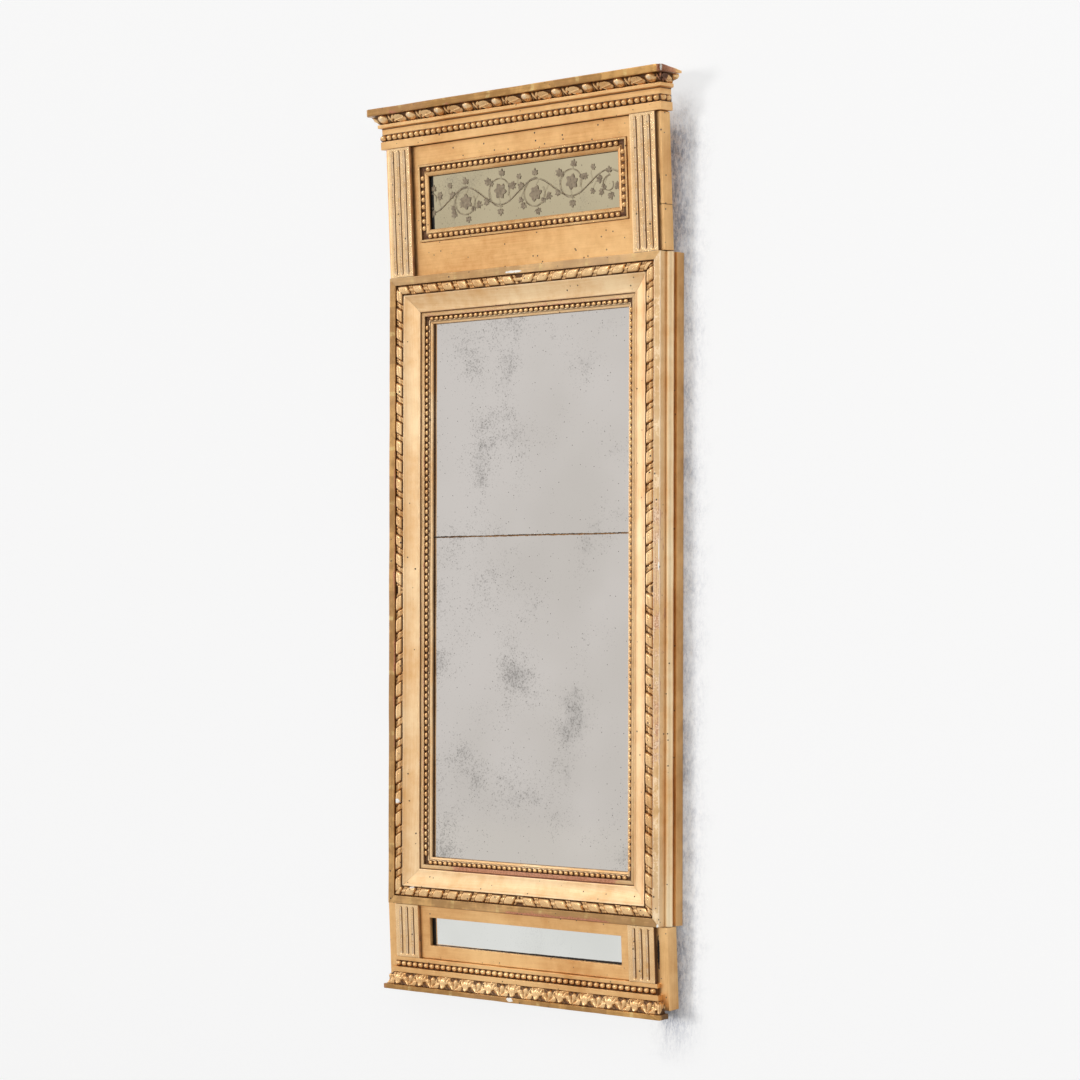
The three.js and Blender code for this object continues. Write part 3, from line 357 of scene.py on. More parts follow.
def piece(name, parts, materials, nodes=(), body="mirror", crease=38, loop=False):
    """One mesh from grids of rings. Each part is (points, marks): points holds
    a ring of points at each station, joined to the next with quads and closed
    with a face at each end, or joined round as a loop; marks are relief, rub,
    darkening, edge and, if given, laps, each a number or an array over the
    points. Low relief and the darkening give soiling and painted shade, and the
    edge mark gives worn arrises and painted highlights. Faces turn outwards by
    the sign of the enclosed volume. A second material goes on the faces that
    look at the wall."""
    points, uvs, marks, quads, ends, at = [], [], [], [], [], 0
    for grid, mark in parts:
        n, k = grid.shape[:2]
        i, j = np.meshgrid(np.arange(n if loop else n - 1), np.arange(k), indexing="ij")
        i2, j2 = (i + 1) % n, (j + 1) % k
        faces = np.stack([i * k + j, i * k + j2, i2 * k + j2, i2 * k + j], -1).reshape(-1, 4)
        flat = grid.reshape(-1, 3)
        caps = [] if loop else [np.arange(k)[::-1], (n - 1) * k + np.arange(k)]
        middle = flat - flat.mean(0)
        fans = [np.stack([np.full(k - 2, c[0]), c[1:-1], c[2:]], -1) for c in caps]
        tri = np.concatenate([faces[:, :3], faces[:, [0, 2, 3]], *fans])
        a, b, c = middle[tri[:, 0]], middle[tri[:, 1]], middle[tri[:, 2]]
        if (a * np.cross(b, c)).sum() < 0:
            faces, caps = faces[:, ::-1], [c[::-1] for c in caps]
        points.append(flat)
        uvs.append(grid_uv(grid).reshape(-1, 2))
        five = np.zeros((n, k, 5))
        for number, value in enumerate(mark):
            five[..., number] = value
        five[..., 3] /= EDGE_SCALE
        marks.append(five.reshape(-1, 5))
        quads.append(faces + at)
        ends += [c + at for c in caps]
        at += len(flat)
    points, uvs, marks = (np.concatenate(x) for x in (points, uvs, marks))
    quads = np.concatenate(quads)
    loops = np.concatenate([quads.ravel(), *ends]).astype(np.int32)
    sizes = np.concatenate([np.full(len(quads), 4), [len(c) for c in ends]]).astype(np.int32)
    starts = np.concatenate([[0], sizes.cumsum()[:-1]]).astype(np.int32)
    mesh = bpy.data.meshes.new(name)
    mesh.vertices.add(len(points))
    mesh.vertices.foreach_set("co", points.astype(np.float32).ravel())
    mesh.loops.add(len(loops))
    mesh.loops.foreach_set("vertex_index", loops)
    mesh.polygons.add(len(sizes))
    mesh.polygons.foreach_set("loop_start", starts)
    mark_mesh(mesh, uvs[loops], marks)
    mesh.update(calc_edges=True)
    mesh.polygons.foreach_set("use_smooth", np.ones(len(sizes), bool))
    mesh.set_sharp_from_angle(angle=radians(crease))
    finish_piece(name, mesh, materials, nodes, body)


def finish_piece(name, mesh, materials, nodes, body, bare_ends=False):
    """Puts a mesh in the scene with its materials and body, and hides the
    nodes it stands for. Bare ends and inner sides get the second material too."""
    thing = added(name, mesh)
    for material in materials:
        mesh.materials.append(material)
    if len(materials) > 1:
        normals, centres = np.zeros((2, len(mesh.polygons) * 3), np.float32)
        mesh.polygons.foreach_get("normal", normals)
        mesh.polygons.foreach_get("center", centres)
        hidden = (np.abs(normals[2::3]) > 0.9) | (normals[::3] * np.sign(centres[::3]) < -0.7)
        behind = (normals[1::3] > 0.7) | (bare_ends & hidden)
        mesh.polygons.foreach_set("material_index", behind.astype(np.int32))
    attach(thing, body)
    if nodes:
        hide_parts(*nodes)
    return thing


LEAF_LAP = 0.0805


def highest(amounts):
    """The greatest of several values in a material."""
    best = amounts[0]
    for amount in amounts[1:]:
        best = best.math("MAXIMUM", amount)
    return best


def gilding(name, light, dark, bole=0.0, rough=0.36, hollow_shade_and_soiling=1.0, chips=(), gaps=()):
    """Worn water gilding. Its tone follows three sizes of noise, streaks along
    the run and, where laps are marked, a tone for each 80 mm leaf and a pale
    line at each lap. Red bole shows where noise plus rub passes a limit, and
    worm holes in clusters. Where relief is low the tone darkens and dark brown
    comes in, soiling and painted shade in the hollows, and the darkening mark
    adds more. Pale cream is gesso worn through on arrises and a painted
    highlight on crowns and lit faces, where the edge mark plus noise passes a
    limit. Inside each chip's ellipse (x, z, half sizes, metres) white gesso
    shows, and inside each gap's it is black."""
    p = Paint(bpy.data.materials.new(name))
    place, run = p.coords(), p.coords("UV")
    marks = p.make("ShaderNodeAttribute", {"attribute_name": "marks"})
    # Marks: relief, how open a place lies; rub; and darkening from soiling and painted shade.
    relief, rub, grime_and_shade = (p.split(marks, k, "Color") for k in range(3))
    edge = p.make("ShaderNodeAttribute", {"attribute_name": "marks"}, None, "Alpha") * EDGE_SCALE
    laps = p.make("ShaderNodeAttribute", {"attribute_name": "laps"}, None, "Fac")
    cloud = p.noise(place, 9, 3)
    mottle = p.noise(place, 62, 4, 0.6)
    fine = p.noise(place, 520, 2, 0.6)
    streak = p.noise(p.stretched(run, (14, 480, 1)), 1, 3)
    clouded, mottled, streaked, low = cloud - 0.5, mottle - 0.5, streak - 0.5, 1 - relief
    leaf = p.split(run, 0) / LEAF_LAP + clouded * 0.25
    patch = p.make("ShaderNodeTexWhiteNoise", {"noise_dimensions": "1D"}, {"W": leaf.math("FLOOR")})
    lap = 1 - (leaf.math("FRACT") - 0.5).math("ABSOLUTE").math("MULTIPLY", 2).over(0.05, 0.09)
    ragged = (mottle * 0.7 + streak * 0.5).over(0.48, 0.72)
    # Darker where relief is low: painted shade in the hollows.
    tone = 0.62 + clouded * 0.9 + mottled * 0.5 + streaked * 0.35 - low * 0.45 + (fine - 0.5) * 0.15
    colour = p.mix(tone.over(0.05, 0.95), dark, light)
    old = 0.45 + mottled * 1.6 + streaked * 0.9 + (patch - 0.5) * 0.5
    leafed = p.mix(old.over(0.15, 0.85), "9F7440", "CD9D5C")
    leafed = p.mix(cloud.over(0.5, 0.7) * fine.over(0.3, 0.6) * 0.4, leafed, "B0805E")
    colour = p.mix(laps * 0.9, colour, leafed)
    colour = p.mix(lap * ragged * laps * 0.62, colour, "E3C988")
    worn = (mottled * 1.1 + streaked * 0.8 + rub + edge * 0.10 + bole).over(0.42, 0.62)
    colour = p.mix(worn * 0.75, colour, p.mix(fine.over(0.3, 0.7), "96503A", "C98468"))
    # Pale cream: gesso worn through on arrises, and a painted highlight on crowns and lit faces.
    pale_wear_and_highlight = (edge * 0.5 + mottled * 1.3 + (fine - 0.5) * 0.6).over(0.60, 0.80)
    colour = p.mix(pale_wear_and_highlight * 0.65, colour, "FDE8C6")
    # Dark brown in the hollows and where marked: soiling and painted shade.
    dirt_and_shade = (low * 1.3 * hollow_shade_and_soiling + grime_and_shade + mottled * 0.35).over(0.38, 1.05)
    colour = p.mix(dirt_and_shade * 0.92, colour, "47280F")
    near, chosen, size = p.cells(place, 100)
    eaten = (chosen * 0.7 + cloud).over(0.84, 0.88)
    hole = eaten * (1 - (near - size * 0.05).over(0.060, 0.095))
    colour = p.mix(hole, colour, "341D0C")
    x, z = p.split(place, 0), p.split(place, 2)
    jag = (p.noise(place, 260, 3, 0.7) - 0.5) * 2.2
    spots = []
    for ellipses, paint in ((chips, "F4EFE6"), (gaps, "20130A")):
        for cx, cz, rx, rz in ellipses:
            far = ((x - cx) / rx) ** 2 + ((z - cz) / rz) ** 2 + jag
            spots.append(1 - far.over(0.75, 1.05))
            colour = p.mix(spots[-1], colour, paint)
    metal = 0.80 - worn * 0.5 - dirt_and_shade * 0.5 - pale_wear_and_highlight * 0.35 - hole * 0.9
    gloss = rough + mottled * 0.16 + worn * 0.16 + dirt_and_shade * 0.25 + pale_wear_and_highlight * 0.3
    if spots:
        metal, gloss = metal * (1 - highest(spots)), gloss + highest(spots) * 0.4
    bumps = fine * 0.25 + mottle * 0.6 - hole * 2.0 - worn * 0.25 + streak * 0.06
    inputs = {"Metallic": metal.math("MAXIMUM", 0), "Normal": p.bump(bumps, 0.5, 0.0005)}
    return p.surface(colour, gloss, **inputs)


def raw_pine(name, light, dark, along):
    """Old unpainted pine, dark with age. Rings are sine waves of noise drawn
    out along the grain, with fine saw lines across, grey dust and knots."""
    p = Paint(bpy.data.materials.new(name))
    place = p.coords()
    drawn = np.array([16.0, 90.0, 16.0])
    drawn[along] = 1.6
    grain = p.noise(p.stretched(place, drawn.tolist()), 1.0, 3, 0.5)
    rings = (grain * 55).math("SINE") * 0.5 + 0.5
    fine = p.noise(p.stretched(place, (6 * drawn).tolist()), 1.0, 4, 0.7)
    colour = p.mix(rings * 0.55 + (fine - 0.5) * 0.9, light, dark)
    dust = p.noise(place, 11, 4, 0.6).over(0.42, 0.75)
    colour = p.mix(dust * 0.5, colour, "3E2A19")
    knots = p.make("ShaderNodeTexVoronoi", None, {"Vector": place, "Scale": 6.5})
    colour = p.mix(1 - knots.over(0.035, 0.075), colour, "33200F")
    normal = p.bump(rings * 0.4 + fine, 0.55, 0.0006)
    return p.surface(colour, 0.74 + (fine - 0.5) * 0.25, Normal=normal)


PINE_UP = raw_pine("pine_upright", "A77F54", "6E4A29", 2)
PINE_ACROSS = raw_pine("pine_across", "A07850", "69472A", 0)
FRAME_CHIPS = (
    (-0.011, 0.0272, 0.015, 0.0016),
    (0.2420, -0.8481, 0.0016, 0.0026),
    (0.2428, -0.3770, 0.0013, 0.0055),
    (0.2430, -0.3560, 0.0006, 0.0150),
)
GILT = gilding("water_gilding", "FBDDAF", "D9A263", chips=FRAME_CHIPS)


def run_on_side(along, a, d, side, width, height, d0=0.0, z0=0.0):
    """A frame's side lies along X with its width going down; it is turned
    about Y to its place: X = x cos t - a sin t + sin t W/2, and
    Z = -x sin t - a cos t + cos t H/2."""
    t = SIDES[side]
    x = along * np.cos(t) - a * np.sin(t) + np.sin(t) * width / 2
    z = -along * np.sin(t) - a * np.cos(t) + np.cos(t) * height / 2
    return places(x, d + d0, z + z0)


MITRE_GAP = 0.212


def side_length(side, width, height):
    return height if side in ("left", "right") else width


def mitred(outline, length, step):
    """Places along a mitred side for each station and section point: the run
    is shortened by the point's own distance in from the outer edge, and by a
    hair, so that two lengths meet without touching. Also gives each point's
    distance in."""
    share = np.linspace(0, 1, int(length / step) + 1)[:, None]
    a = outline[None, :, 0] + MITRE_GAP
    along = a + share * (length - 2 * a) - length / 2
    return along, np.broadcast_to(outline[:, 0], along.shape)


def moulding_outline():
    """The section, as distances in from the outer edge and depths."""
    t = np.linspace(0, 1, 15)
    hollow = np.stack([25.9 + 24.5 * t, 1.2 + 9.2 * (1 - (1 - t) ** 1.9)], 1)
    front = [(0, 25.4), (0, 0), (11.1, 0), (11.1, 4.5), (25.9, 4.5), hollow[0]]
    rest = [hollow[-1], (50.4, 12), (56.8, 12), (56.8, 15.5), (63.5, 15.5), (63.5, 16.4)]
    lip = [(67.3, 17.9), (67.3, 22.1), (60, 22.1), (60, 25.4)]
    corners, near = eased(front + rest + lip, 0.7)
    cut = 5 * len(front)
    points = np.concatenate([corners[:cut], hollow[1:-1], corners[cut:]])
    return points, np.concatenate([near[:cut], np.zeros(13), near[cut:]])


outline, near = moulding_outline()
# How open each point lies, for painted shade in the hollows; the outer side face stays fully open.
open_ = np.where(outline[:, 0] < 0.3, 1.0, relief_of(outline, 2.6, 4.0))
for number, side in enumerate(SIDES):
    along, a = mitred(outline, side_length(side, WIDTH, HEIGHT), 6)
    d = outline[:, 1] + wander(along, 11 + number, 0.16)
    points = run_on_side(along, a, d, side, WIDTH, HEIGHT)
    x, z = points[..., 0], points[..., 2]
    inner = (a > 50) & (a < 57)
    rub = 0.05 + 0.1 * np.broadcast_to(near, a.shape)
    if side == "bottom":
        rub = rub + 0.8 * inner * soft_box(x, z, -120, 150, -500, 0)
        rub = rub + 0.62 * (a < 6) * soft_box(x, z, -15, 150, -500, 0)
    if side == "left":
        rub = rub + 0.34 * ((a > 5) & (a < 12)) * soft_box(x, z, -300, 0, -215, 185)
        rub = rub + 0.2 * inner
    if side == "right":
        rub = rub + 0.3 * (a < 12) * soft_box(x, z, 0, 300, -220, 110)
    if side == "top":
        rub = rub + 0.28 * inner
    # Darkening: a little on the outer side face, much on the lip's inner face by the glass, and
    # painted shade in the hollow corners.
    outside = (a < 0.3) & (outline[:, 1] > 1)
    leaf = {"left": 1.0, "bottom": 0.95, "top": 0.75, "right": 0.35}[side]
    laps = leaf * ((a < 11.3) & (outline[:, 1] < 4)) + 0.45 * inner
    lip = (a > 67.25) & (outline[:, 1] > 20.3)
    # Pale arrises worn through the gold, and on the right fillet a painted highlight over its wear.
    worn_and_lit_edge = near + 1.15 * (a < 11) * (side == "right") * (outline[:, 1] < 1)
    grime_and_shade = 0.10 * outside + 1.2 * lip + 0.75 * crevices(outline, near)
    parts = [(stand(points, MAIN), (open_, rub, grime_and_shade, worn_and_lit_edge, laps))]
    piece(f"frame_{side}", parts, [GILT, PINE_UP], [f"moulding_{side}"])

# ----------------------------------------------- main frame: ribbon runs
# A ribbon carved as if wound round a rod, let into the channel of each side:
# long crowned wraps, with the bare rod and two small petals between them. The
# wraps start at the middle of a side and lean away from it both ways.
WRAPS = {
    "left": ((17.2, 26.6), (18.0, 30.5)),
    "right": ((15.0, 26.2), (15.0, 26.5)),
    "top": ((13.5, 26.6), (22.0, 28.0)),
    "bottom": ((16.5, 26.6), (19.0, 28.4)),
}
ROD_MIDDLE, ROD_HALF, CHANNEL = 18.5, 7.1, 4.2
RIBBON_CHIPS = ((-0.2262, -0.7045, 0.0042, 0.0034), (-0.200, -0.8255, 0.0045, 0.0015))
GILT_CARVED = gilding(
    "carved_gilding", "F6CF98", "BE8444", rough=0.26, hollow_shade_and_soiling=1.1, chips=RIBBON_CHIPS
)


def ribbon_height(x, v, wraps, seed):
    """Height over the channel's floor. s is the distance from the middle,
    leaning with v, and t the distance from the nearest wrap's middle. A wrap is
    a crown over |t| < 0.3 pitch; between wraps the rod is a half-ellipse of
    half the width, and a petal is a low dome on either side of it. Gives the
    height, the share of wrap, and how open the place lies, which paints shade
    low on the wraps' flanks, deeper on the inner flank, and in the gaps."""
    rng = np.random.default_rng(seed)
    first = np.where(x >= 0, wraps[0][0], wraps[1][0])
    pitch = np.where(x >= 0, wraps[0][1], wraps[1][1])
    s = np.abs(x) + 0.55 * ROD_HALF * v
    k = np.maximum(0, np.round((s - first) / pitch))
    own = (k + 25 * (x < 0)).astype(int)
    t = s - first - k * pitch - rng.uniform(-0.6, 0.6, 60)[own]
    half = 0.3 * pitch + rng.uniform(-0.5, 0.6, 60)[own]
    on = np.clip((half - np.abs(t)) / 0.9, 0, 1)
    on = on * on * (3 - 2 * on)
    crown = (5.3 - 0.6 * (t / half) ** 2) * np.clip(1 - (np.abs(v) / 0.93) ** 3, 0, 1) ** 0.6
    rod = 3.6 * np.sqrt(np.clip(1 - (v / 0.38) ** 2, 0, 1))
    middle = (half + pitch / 2) / 2
    reach = np.maximum(0.6, (pitch / 2 - half) * 0.82)
    petal = 1 - ((np.abs(t) - middle) / reach) ** 2 - ((np.abs(v) - 0.66) / 0.3) ** 2
    between = np.maximum(rod, 2.0 * np.sqrt(np.clip(petal, 0, 1)))
    notch = np.exp(-(((np.abs(t) - half - 0.9) / 0.9) ** 2))
    between = between * (1 - 0.75 * notch)
    # Painted shade on the wraps' flanks, heavier on the inner side.
    lit = np.clip(crown / 4.6, 0.02, 1) ** np.where(v > 0, 2.2, 0.5)
    open_ = on * lit + (1 - on) * (between / 3.6) ** 0.75
    return 0.15 + on * crown + (1 - on) * between, on, open_


v = np.sin(np.linspace(-pi / 2, pi / 2, 19))
top = np.stack([ROD_MIDDLE + ROD_HALF * v, np.zeros(19)], 1)
outline = np.concatenate([top, [(25.6, CHANNEL), (11.4, CHANNEL)]])
for number, side in enumerate(SIDES):
    along, a = mitred(outline, side_length(side, WIDTH, HEIGHT), 0.95)
    across = np.clip((a - ROD_MIDDLE) / ROD_HALF, -1, 1)
    h, on, relief = ribbon_height(along, across, WRAPS[side], 40 + number)
    d = np.where(np.arange(len(outline)) < 19, CHANNEL - h, CHANNEL)
    points = stand(run_on_side(along, a, d, side, WIDTH, HEIGHT), MAIN)
    # Pale at the wraps' ends and crowns: wear, and a painted highlight on the crown's top.
    edge = 0.3 * np.clip(4 * on * (1 - on), 0, 1) + 0.75 * np.clip((h - 4.5) / 0.8, 0, 1)
    parts = [(points, (relief, 0.06, 0, edge))]
    piece(f"ribbon_run_{side}", parts, [GILT_CARVED], [f"ribbon_{side}"], crease=60)

# ------------------------------------------------ main frame: inner beads
# A string of small turned-looking beads along the sight edge, carved in the
# solid and burnished, with bole, soiling and painted shade between them and a
# painted highlight with wear on their tops.
GILT_BEADS = gilding("burnished_beads", "F2C88E", "B97C3E", rough=0.17, hollow_shade_and_soiling=1.2, bole=0.02)


def bead_places(start, end, pitch, share=0.84, steps=8):
    """Stations along a string: cosine steps over each bead, so that its steep
    ends are finely cut, with the bead's own place from -1 to 1. A bead fills a
    share of the pitch and a neck the rest."""
    count = int((end - start) / pitch)
    first = (start + end - count * pitch) / 2
    inside = -np.cos(np.arange(steps + 1) * pi / steps)
    x = (first + pitch * (np.arange(count)[:, None] + 0.5 + 0.5 * share * inside)).ravel()
    return x, np.tile(inside, count)


def bead_section(inside, low, high, steps=8):
    """Half-ellipse across the string for each station: its height falls from
    high at the bead's middle to low at the neck as sqrt(1 - place^2)."""
    swell = np.sqrt(np.clip(1 - inside[:, None] ** 2, 0, 1))
    angle = np.linspace(0, pi, steps + 1)[None, :]
    wide = 0.5 + 0.5 * swell
    return -np.cos(angle) * wide, low + (high - low) * swell, np.sin(angle)


def footed(across, height, middle, half, sunk):
    """A bead section with its foot: two more points per station, sunk below
    the bed. Gives places across and heights."""
    column = np.ones((len(height), 1))
    across = np.hstack([across, column * (middle + half), column * (middle - half)])
    return across, np.hstack([height, column * -sunk, column * -sunk])


def string_of_beads(length, middle, half, floor_, high, pitch, reach, seed, share=0.84):
    """A mitred side's string: beads between the mitres, necks up to them."""
    x, inside = bead_places(reach, length - reach, pitch, share)
    rng = np.random.default_rng(seed)
    x = np.concatenate([[reach - 1], x, [length - reach + 1]])
    inside = np.concatenate([[-1.0], inside, [-1.0]])
    across, height, round_ = bead_section(inside, 0.6, high)
    uneven = 1 + 0.04 * rng.standard_normal(len(x) // 9 + 1).repeat(9)[: len(x)][:, None]
    a, h = footed(middle + half * across, height * uneven * round_, middle, half * 0.6, 0.25)
    along = np.broadcast_to(x[:, None], a.shape) - length / 2
    ends = a[:1] + MITRE_GAP - length / 2
    along = np.concatenate([ends, along, -ends])
    a, h = (np.concatenate([m[:1], m, m[-1:]]) for m in (a, h))
    return along, a, floor_ - h, np.clip(h / high, 0, 1)


for number, side in enumerate(SIDES):
    length = side_length(side, WIDTH, HEIGHT)
    string = string_of_beads(length, 60.15, 3.05, 15.2, 3.5, 9.25, 63.8, 70 + number)
    points = stand(run_on_side(*string[:3], side, WIDTH, HEIGHT), MAIN)
    relief = string[3]
    # Low relief between the beads gives painted shade and bole; their tops get a painted highlight
    # with wear.
    parts = [(points, (relief, 0.1 + 0.25 * (1 - relief), 0, 0.8 * relief**4))]
    piece(f"bead_run_{side}", parts, [GILT_BEADS], [f"beads_{side}"], crease=70)

# -------------------------------------------- main frame: outer side beads
# A half-round pine bead planted along each outer side, gilt on the round. Its
# end grain shows raw wood at head and foot, but the ends here are gilt too.
SIDE_GAPS = ((0.2424, 0.1170, 0.0011, 0.0220), (0.2362, -0.8830, 0.0022, 0.0230))
GILT_SIDE = gilding("side_gilding", "F8CC8E", "CA8C4A", rough=0.38, hollow_shade_and_soiling=1.1, gaps=SIDE_GAPS)
GILT_ROUND = gilding("round_gilding", "FFE8BE", "E4AC68", rough=0.32, hollow_shade_and_soiling=0.6, bole=-0.06)
turn = np.linspace(0, pi, 19)
half_round = np.stack([6.72 * np.sin(turn), 18.6 - 6.4 * np.cos(turn)], 1)
for side, sign in (("left", -1), ("right", 1)):
    z = np.linspace(-442.2, 442.2, 120)[:, None]
    out = 245.0 + half_round[:, 0] + wander(z, 90 + sign, 0.12) * np.sin(turn)
    points = stand(places(sign * out, half_round[:, 1], z), MAIN)
    # Painted shade where the round meets the stile in front and the wall behind.
    open_ = np.clip(0.62 + 0.6 * np.sin(turn), 0, 1)
    rub = 0.02 + 0.25 * soft_box(sign * out, z, -300, 300, -446, -436, 4)
    # Painted shade on the outer flank, and a little darkening about the middle of the side.
    flank = np.clip((np.sin(turn) - 0.72) / 0.2, 0, 1) * (np.cos(turn) < 0.72)
    grime_and_shade = 0.10 * flank + 0.12 * soft_box(sign * out, z, -300, 300, -60, -20, 40)
    parts = [(points, (open_, rub, grime_and_shade, 0))]
    piece(f"outer_bead_{side}", parts, [GILT_ROUND], [f"side_bead_{side}"])

# ------------------------------------------------------ carcass and backs
# Sawn pine boards behind the moulding: two stiles whose planed tongues carry
# the crest and the base, three rails, and thin boards that close the back.


def board_piece(name, node, materials, ease, marks=(0.95, 0.06, 0.0)):
    """A board of the frame's own shape: the node's triangles merged to flat
    faces, then every arris rounded by a bevel. u runs along its longest side.
    Marks are one relief, rub and darkening for all of it."""
    shape = bmesh.new()
    shape.from_mesh(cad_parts[node].data)
    bmesh.ops.remove_doubles(shape, verts=shape.verts, dist=1e-6)
    bmesh.ops.dissolve_limit(shape, angle_limit=radians(0.4), verts=shape.verts, edges=shape.edges)
    mesh = bpy.data.meshes.new(name)
    shape.to_mesh(mesh)
    shape.free()
    for layer in list(mesh.uv_layers):
        mesh.uv_layers.remove(layer)
    co = np.zeros(len(mesh.vertices) * 3, np.float32)
    mesh.vertices.foreach_get("co", co)
    co = co.reshape(-1, 3)
    order = np.argsort(np.ptp(co, axis=0))[::-1]
    uv = np.stack([co[:, order[0]], co[:, order[1]] + co[:, order[2]]], 1)
    loops = np.zeros(len(mesh.loops), np.int32)
    mesh.loops.foreach_get("vertex_index", loops)
    mark_mesh(mesh, uv[loops], np.tile([*marks, 0, 0], (len(co), 1)))
    thing = finish_piece(name, mesh, materials, [node], "mirror", "panel" not in node)
    bevel = thing.modifiers.new("eased", "BEVEL")
    bevel.width, bevel.segments, bevel.angle_limit = ease / 1000, 2, radians(30)


OCHRE = gilding("ochre_side", "EEC084", "BC8548", rough=0.46, hollow_shade_and_soiling=1.0, bole=-0.05)
for side in ("left", "right"):
    pair = [OCHRE, PINE_UP]
    board_piece(f"stile_{side}", f"carcass_{side}", pair, 0.6, (0.9, 0.1, 0.12))
for place in ("top", "middle", "bottom"):
    board_piece(f"rail_{place}", f"carcass_{place}", [PINE_ACROSS], 1.4)
BACK_PINE = raw_pine("back_pine", "8F6A44", "5C3F25", 2)
for place in ("upper", "lower"):
    board_piece(f"closing_board_{place}", f"backboard_{place}", [BACK_PINE], 1.0)

# ---------------------------------------------------------- mirror plates
# Two plates of old silvered glass, one over the other, with foxed silvering.
# The silver is on the rear face, so the picture is set back from the lip, and
# the edges that meet are nibbled and black.


def silvering(name, light, dark, foxing, seam=None, dark_edge=None, dark_foot=None):
    """Tin-mercury silvering seen through glass: a grey metal whose tone drifts
    with noise, duller in hazy clouds, with foxed specks where cells and clouds
    of noise meet. A ragged black line follows a seam at its height. A dark foot
    at its height and a dark edge at its distance left of the middle, in metres,
    are painted shade: the dark rebate that shows past the lip."""
    p = Paint(bpy.data.materials.new(name))
    place = p.coords()
    x, z = p.split(place, 0), p.split(place, 2)
    cloud = p.noise(place, 8, 6, 0.66)
    grit = p.noise(place, 420, 2, 0.7)
    colour = p.mix(p.noise(place, 3.2, 3).over(0.35, 0.65), dark, light)
    colour = p.mix(cloud.over(0.54, 0.78) * foxing * 0.40, colour, "8C8A86")
    left = (0.06 - x).over(-0.1, 0.2)
    near, chosen, size = p.cells(place, 210)
    few = (chosen + (cloud - 0.5) * 0.9 + left * 0.10).over(0.82, 0.88)
    speck = few * (1 - (near / (size * 0.8 + 0.35)).over(0.18, 0.30)) * foxing
    dust = (grit * 0.75 + cloud * 0.75 + left * 0.05).over(0.84, 1.0) * foxing
    colour = p.mix((speck * 0.75 + dust * 0.42).math("MINIMUM", 1), colour, "4A4641")
    lines = []
    if seam is not None:
        ragged = (p.noise(place, 240, 4, 0.7) - 0.5) * 0.0034 + (p.noise(place, 8, 1) - 0.5) * 0.002
        off = ((z - seam - 0.0003) + ragged).math("ABSOLUTE")
        lines.append(1 - off.over(0.0006, 0.0013))
    # Painted shade: the dark rebate that shows past the lip, as a band on the left and a line along
    # the foot.
    if dark_edge is not None:
        off = x + dark_edge + (p.noise(place, 150, 3) - 0.5) * 0.001
        lines.append(1 - off.over(0.0, 0.0007))
    if dark_foot is not None:
        off = z - dark_foot - (x + 0.17) * 0.006 + (p.noise(place, 90, 3) - 0.5) * 0.0012
        lines.append(1 - off.over(0.0, 0.0006))
    black = highest(lines)
    return p.surface(p.mix(black, colour, "0E0B08"), 0.06 + black * 0.5, Metallic=1 - black)


SILVER = silvering("foxed_silver", "E2DCD5", "D8D2CA", 1.0, seam=(75 - 407.2) / 1000)


def plate(name, part, half, heights, depths, material, node, ragged=(0, 0), seed=0):
    """A glass plate along X: the ring is its thickness and height, and a
    ragged edge is nibbled by noise of the given size at foot or head."""
    x = np.arange(-half, half + 1.5, 3.0).clip(-half, half)
    rng = np.random.default_rng(seed)
    foot = heights[0] + ragged[0] * rng.uniform(0, 1, len(x))
    top = heights[1] - ragged[1] * rng.uniform(0, 1, len(x))
    z = np.stack([foot, top, top, foot], 1)
    points = places(x[:, None], np.repeat(depths, 2), z)
    piece(name, [(stand(points, part), (1.0,))], [material], [node])


for half, heights, ragged, seed in (
    ("upper", (75.5, 381.7), (0.9, 0), 5),
    ("lower", (-381.7, 74.5), (0, 0.9), 6),
):
    name, node, depths = f"plate_{half}", f"mirror_plate_{half}", (22.45, 25.2)
    plate(name, MAIN, 183.9, heights, depths, SILVER, node, ragged, seed)

# ------------------------------------------------------ crest: pilasters
# Pine strips with three stopped flutes, gilt and burnished. Each flute's
# left wall, which faces right, has a painted highlight and its bottom painted
# shade; the side faces are darker, with soiling and painted shade, more on the
# right pilaster, and show dark bole.
GILT_FIELD = gilding("field_gilding", "F4C688", "C68442", rough=0.38, hollow_shade_and_soiling=1.0)
GILT_PILASTER = gilding("pilaster_gilding", "FCD8A6", "CC9656", rough=0.25, hollow_shade_and_soiling=1.1)


FLUTES, FLUTE_R = np.array([-11.3, 0.0, 11.3]), 3.25


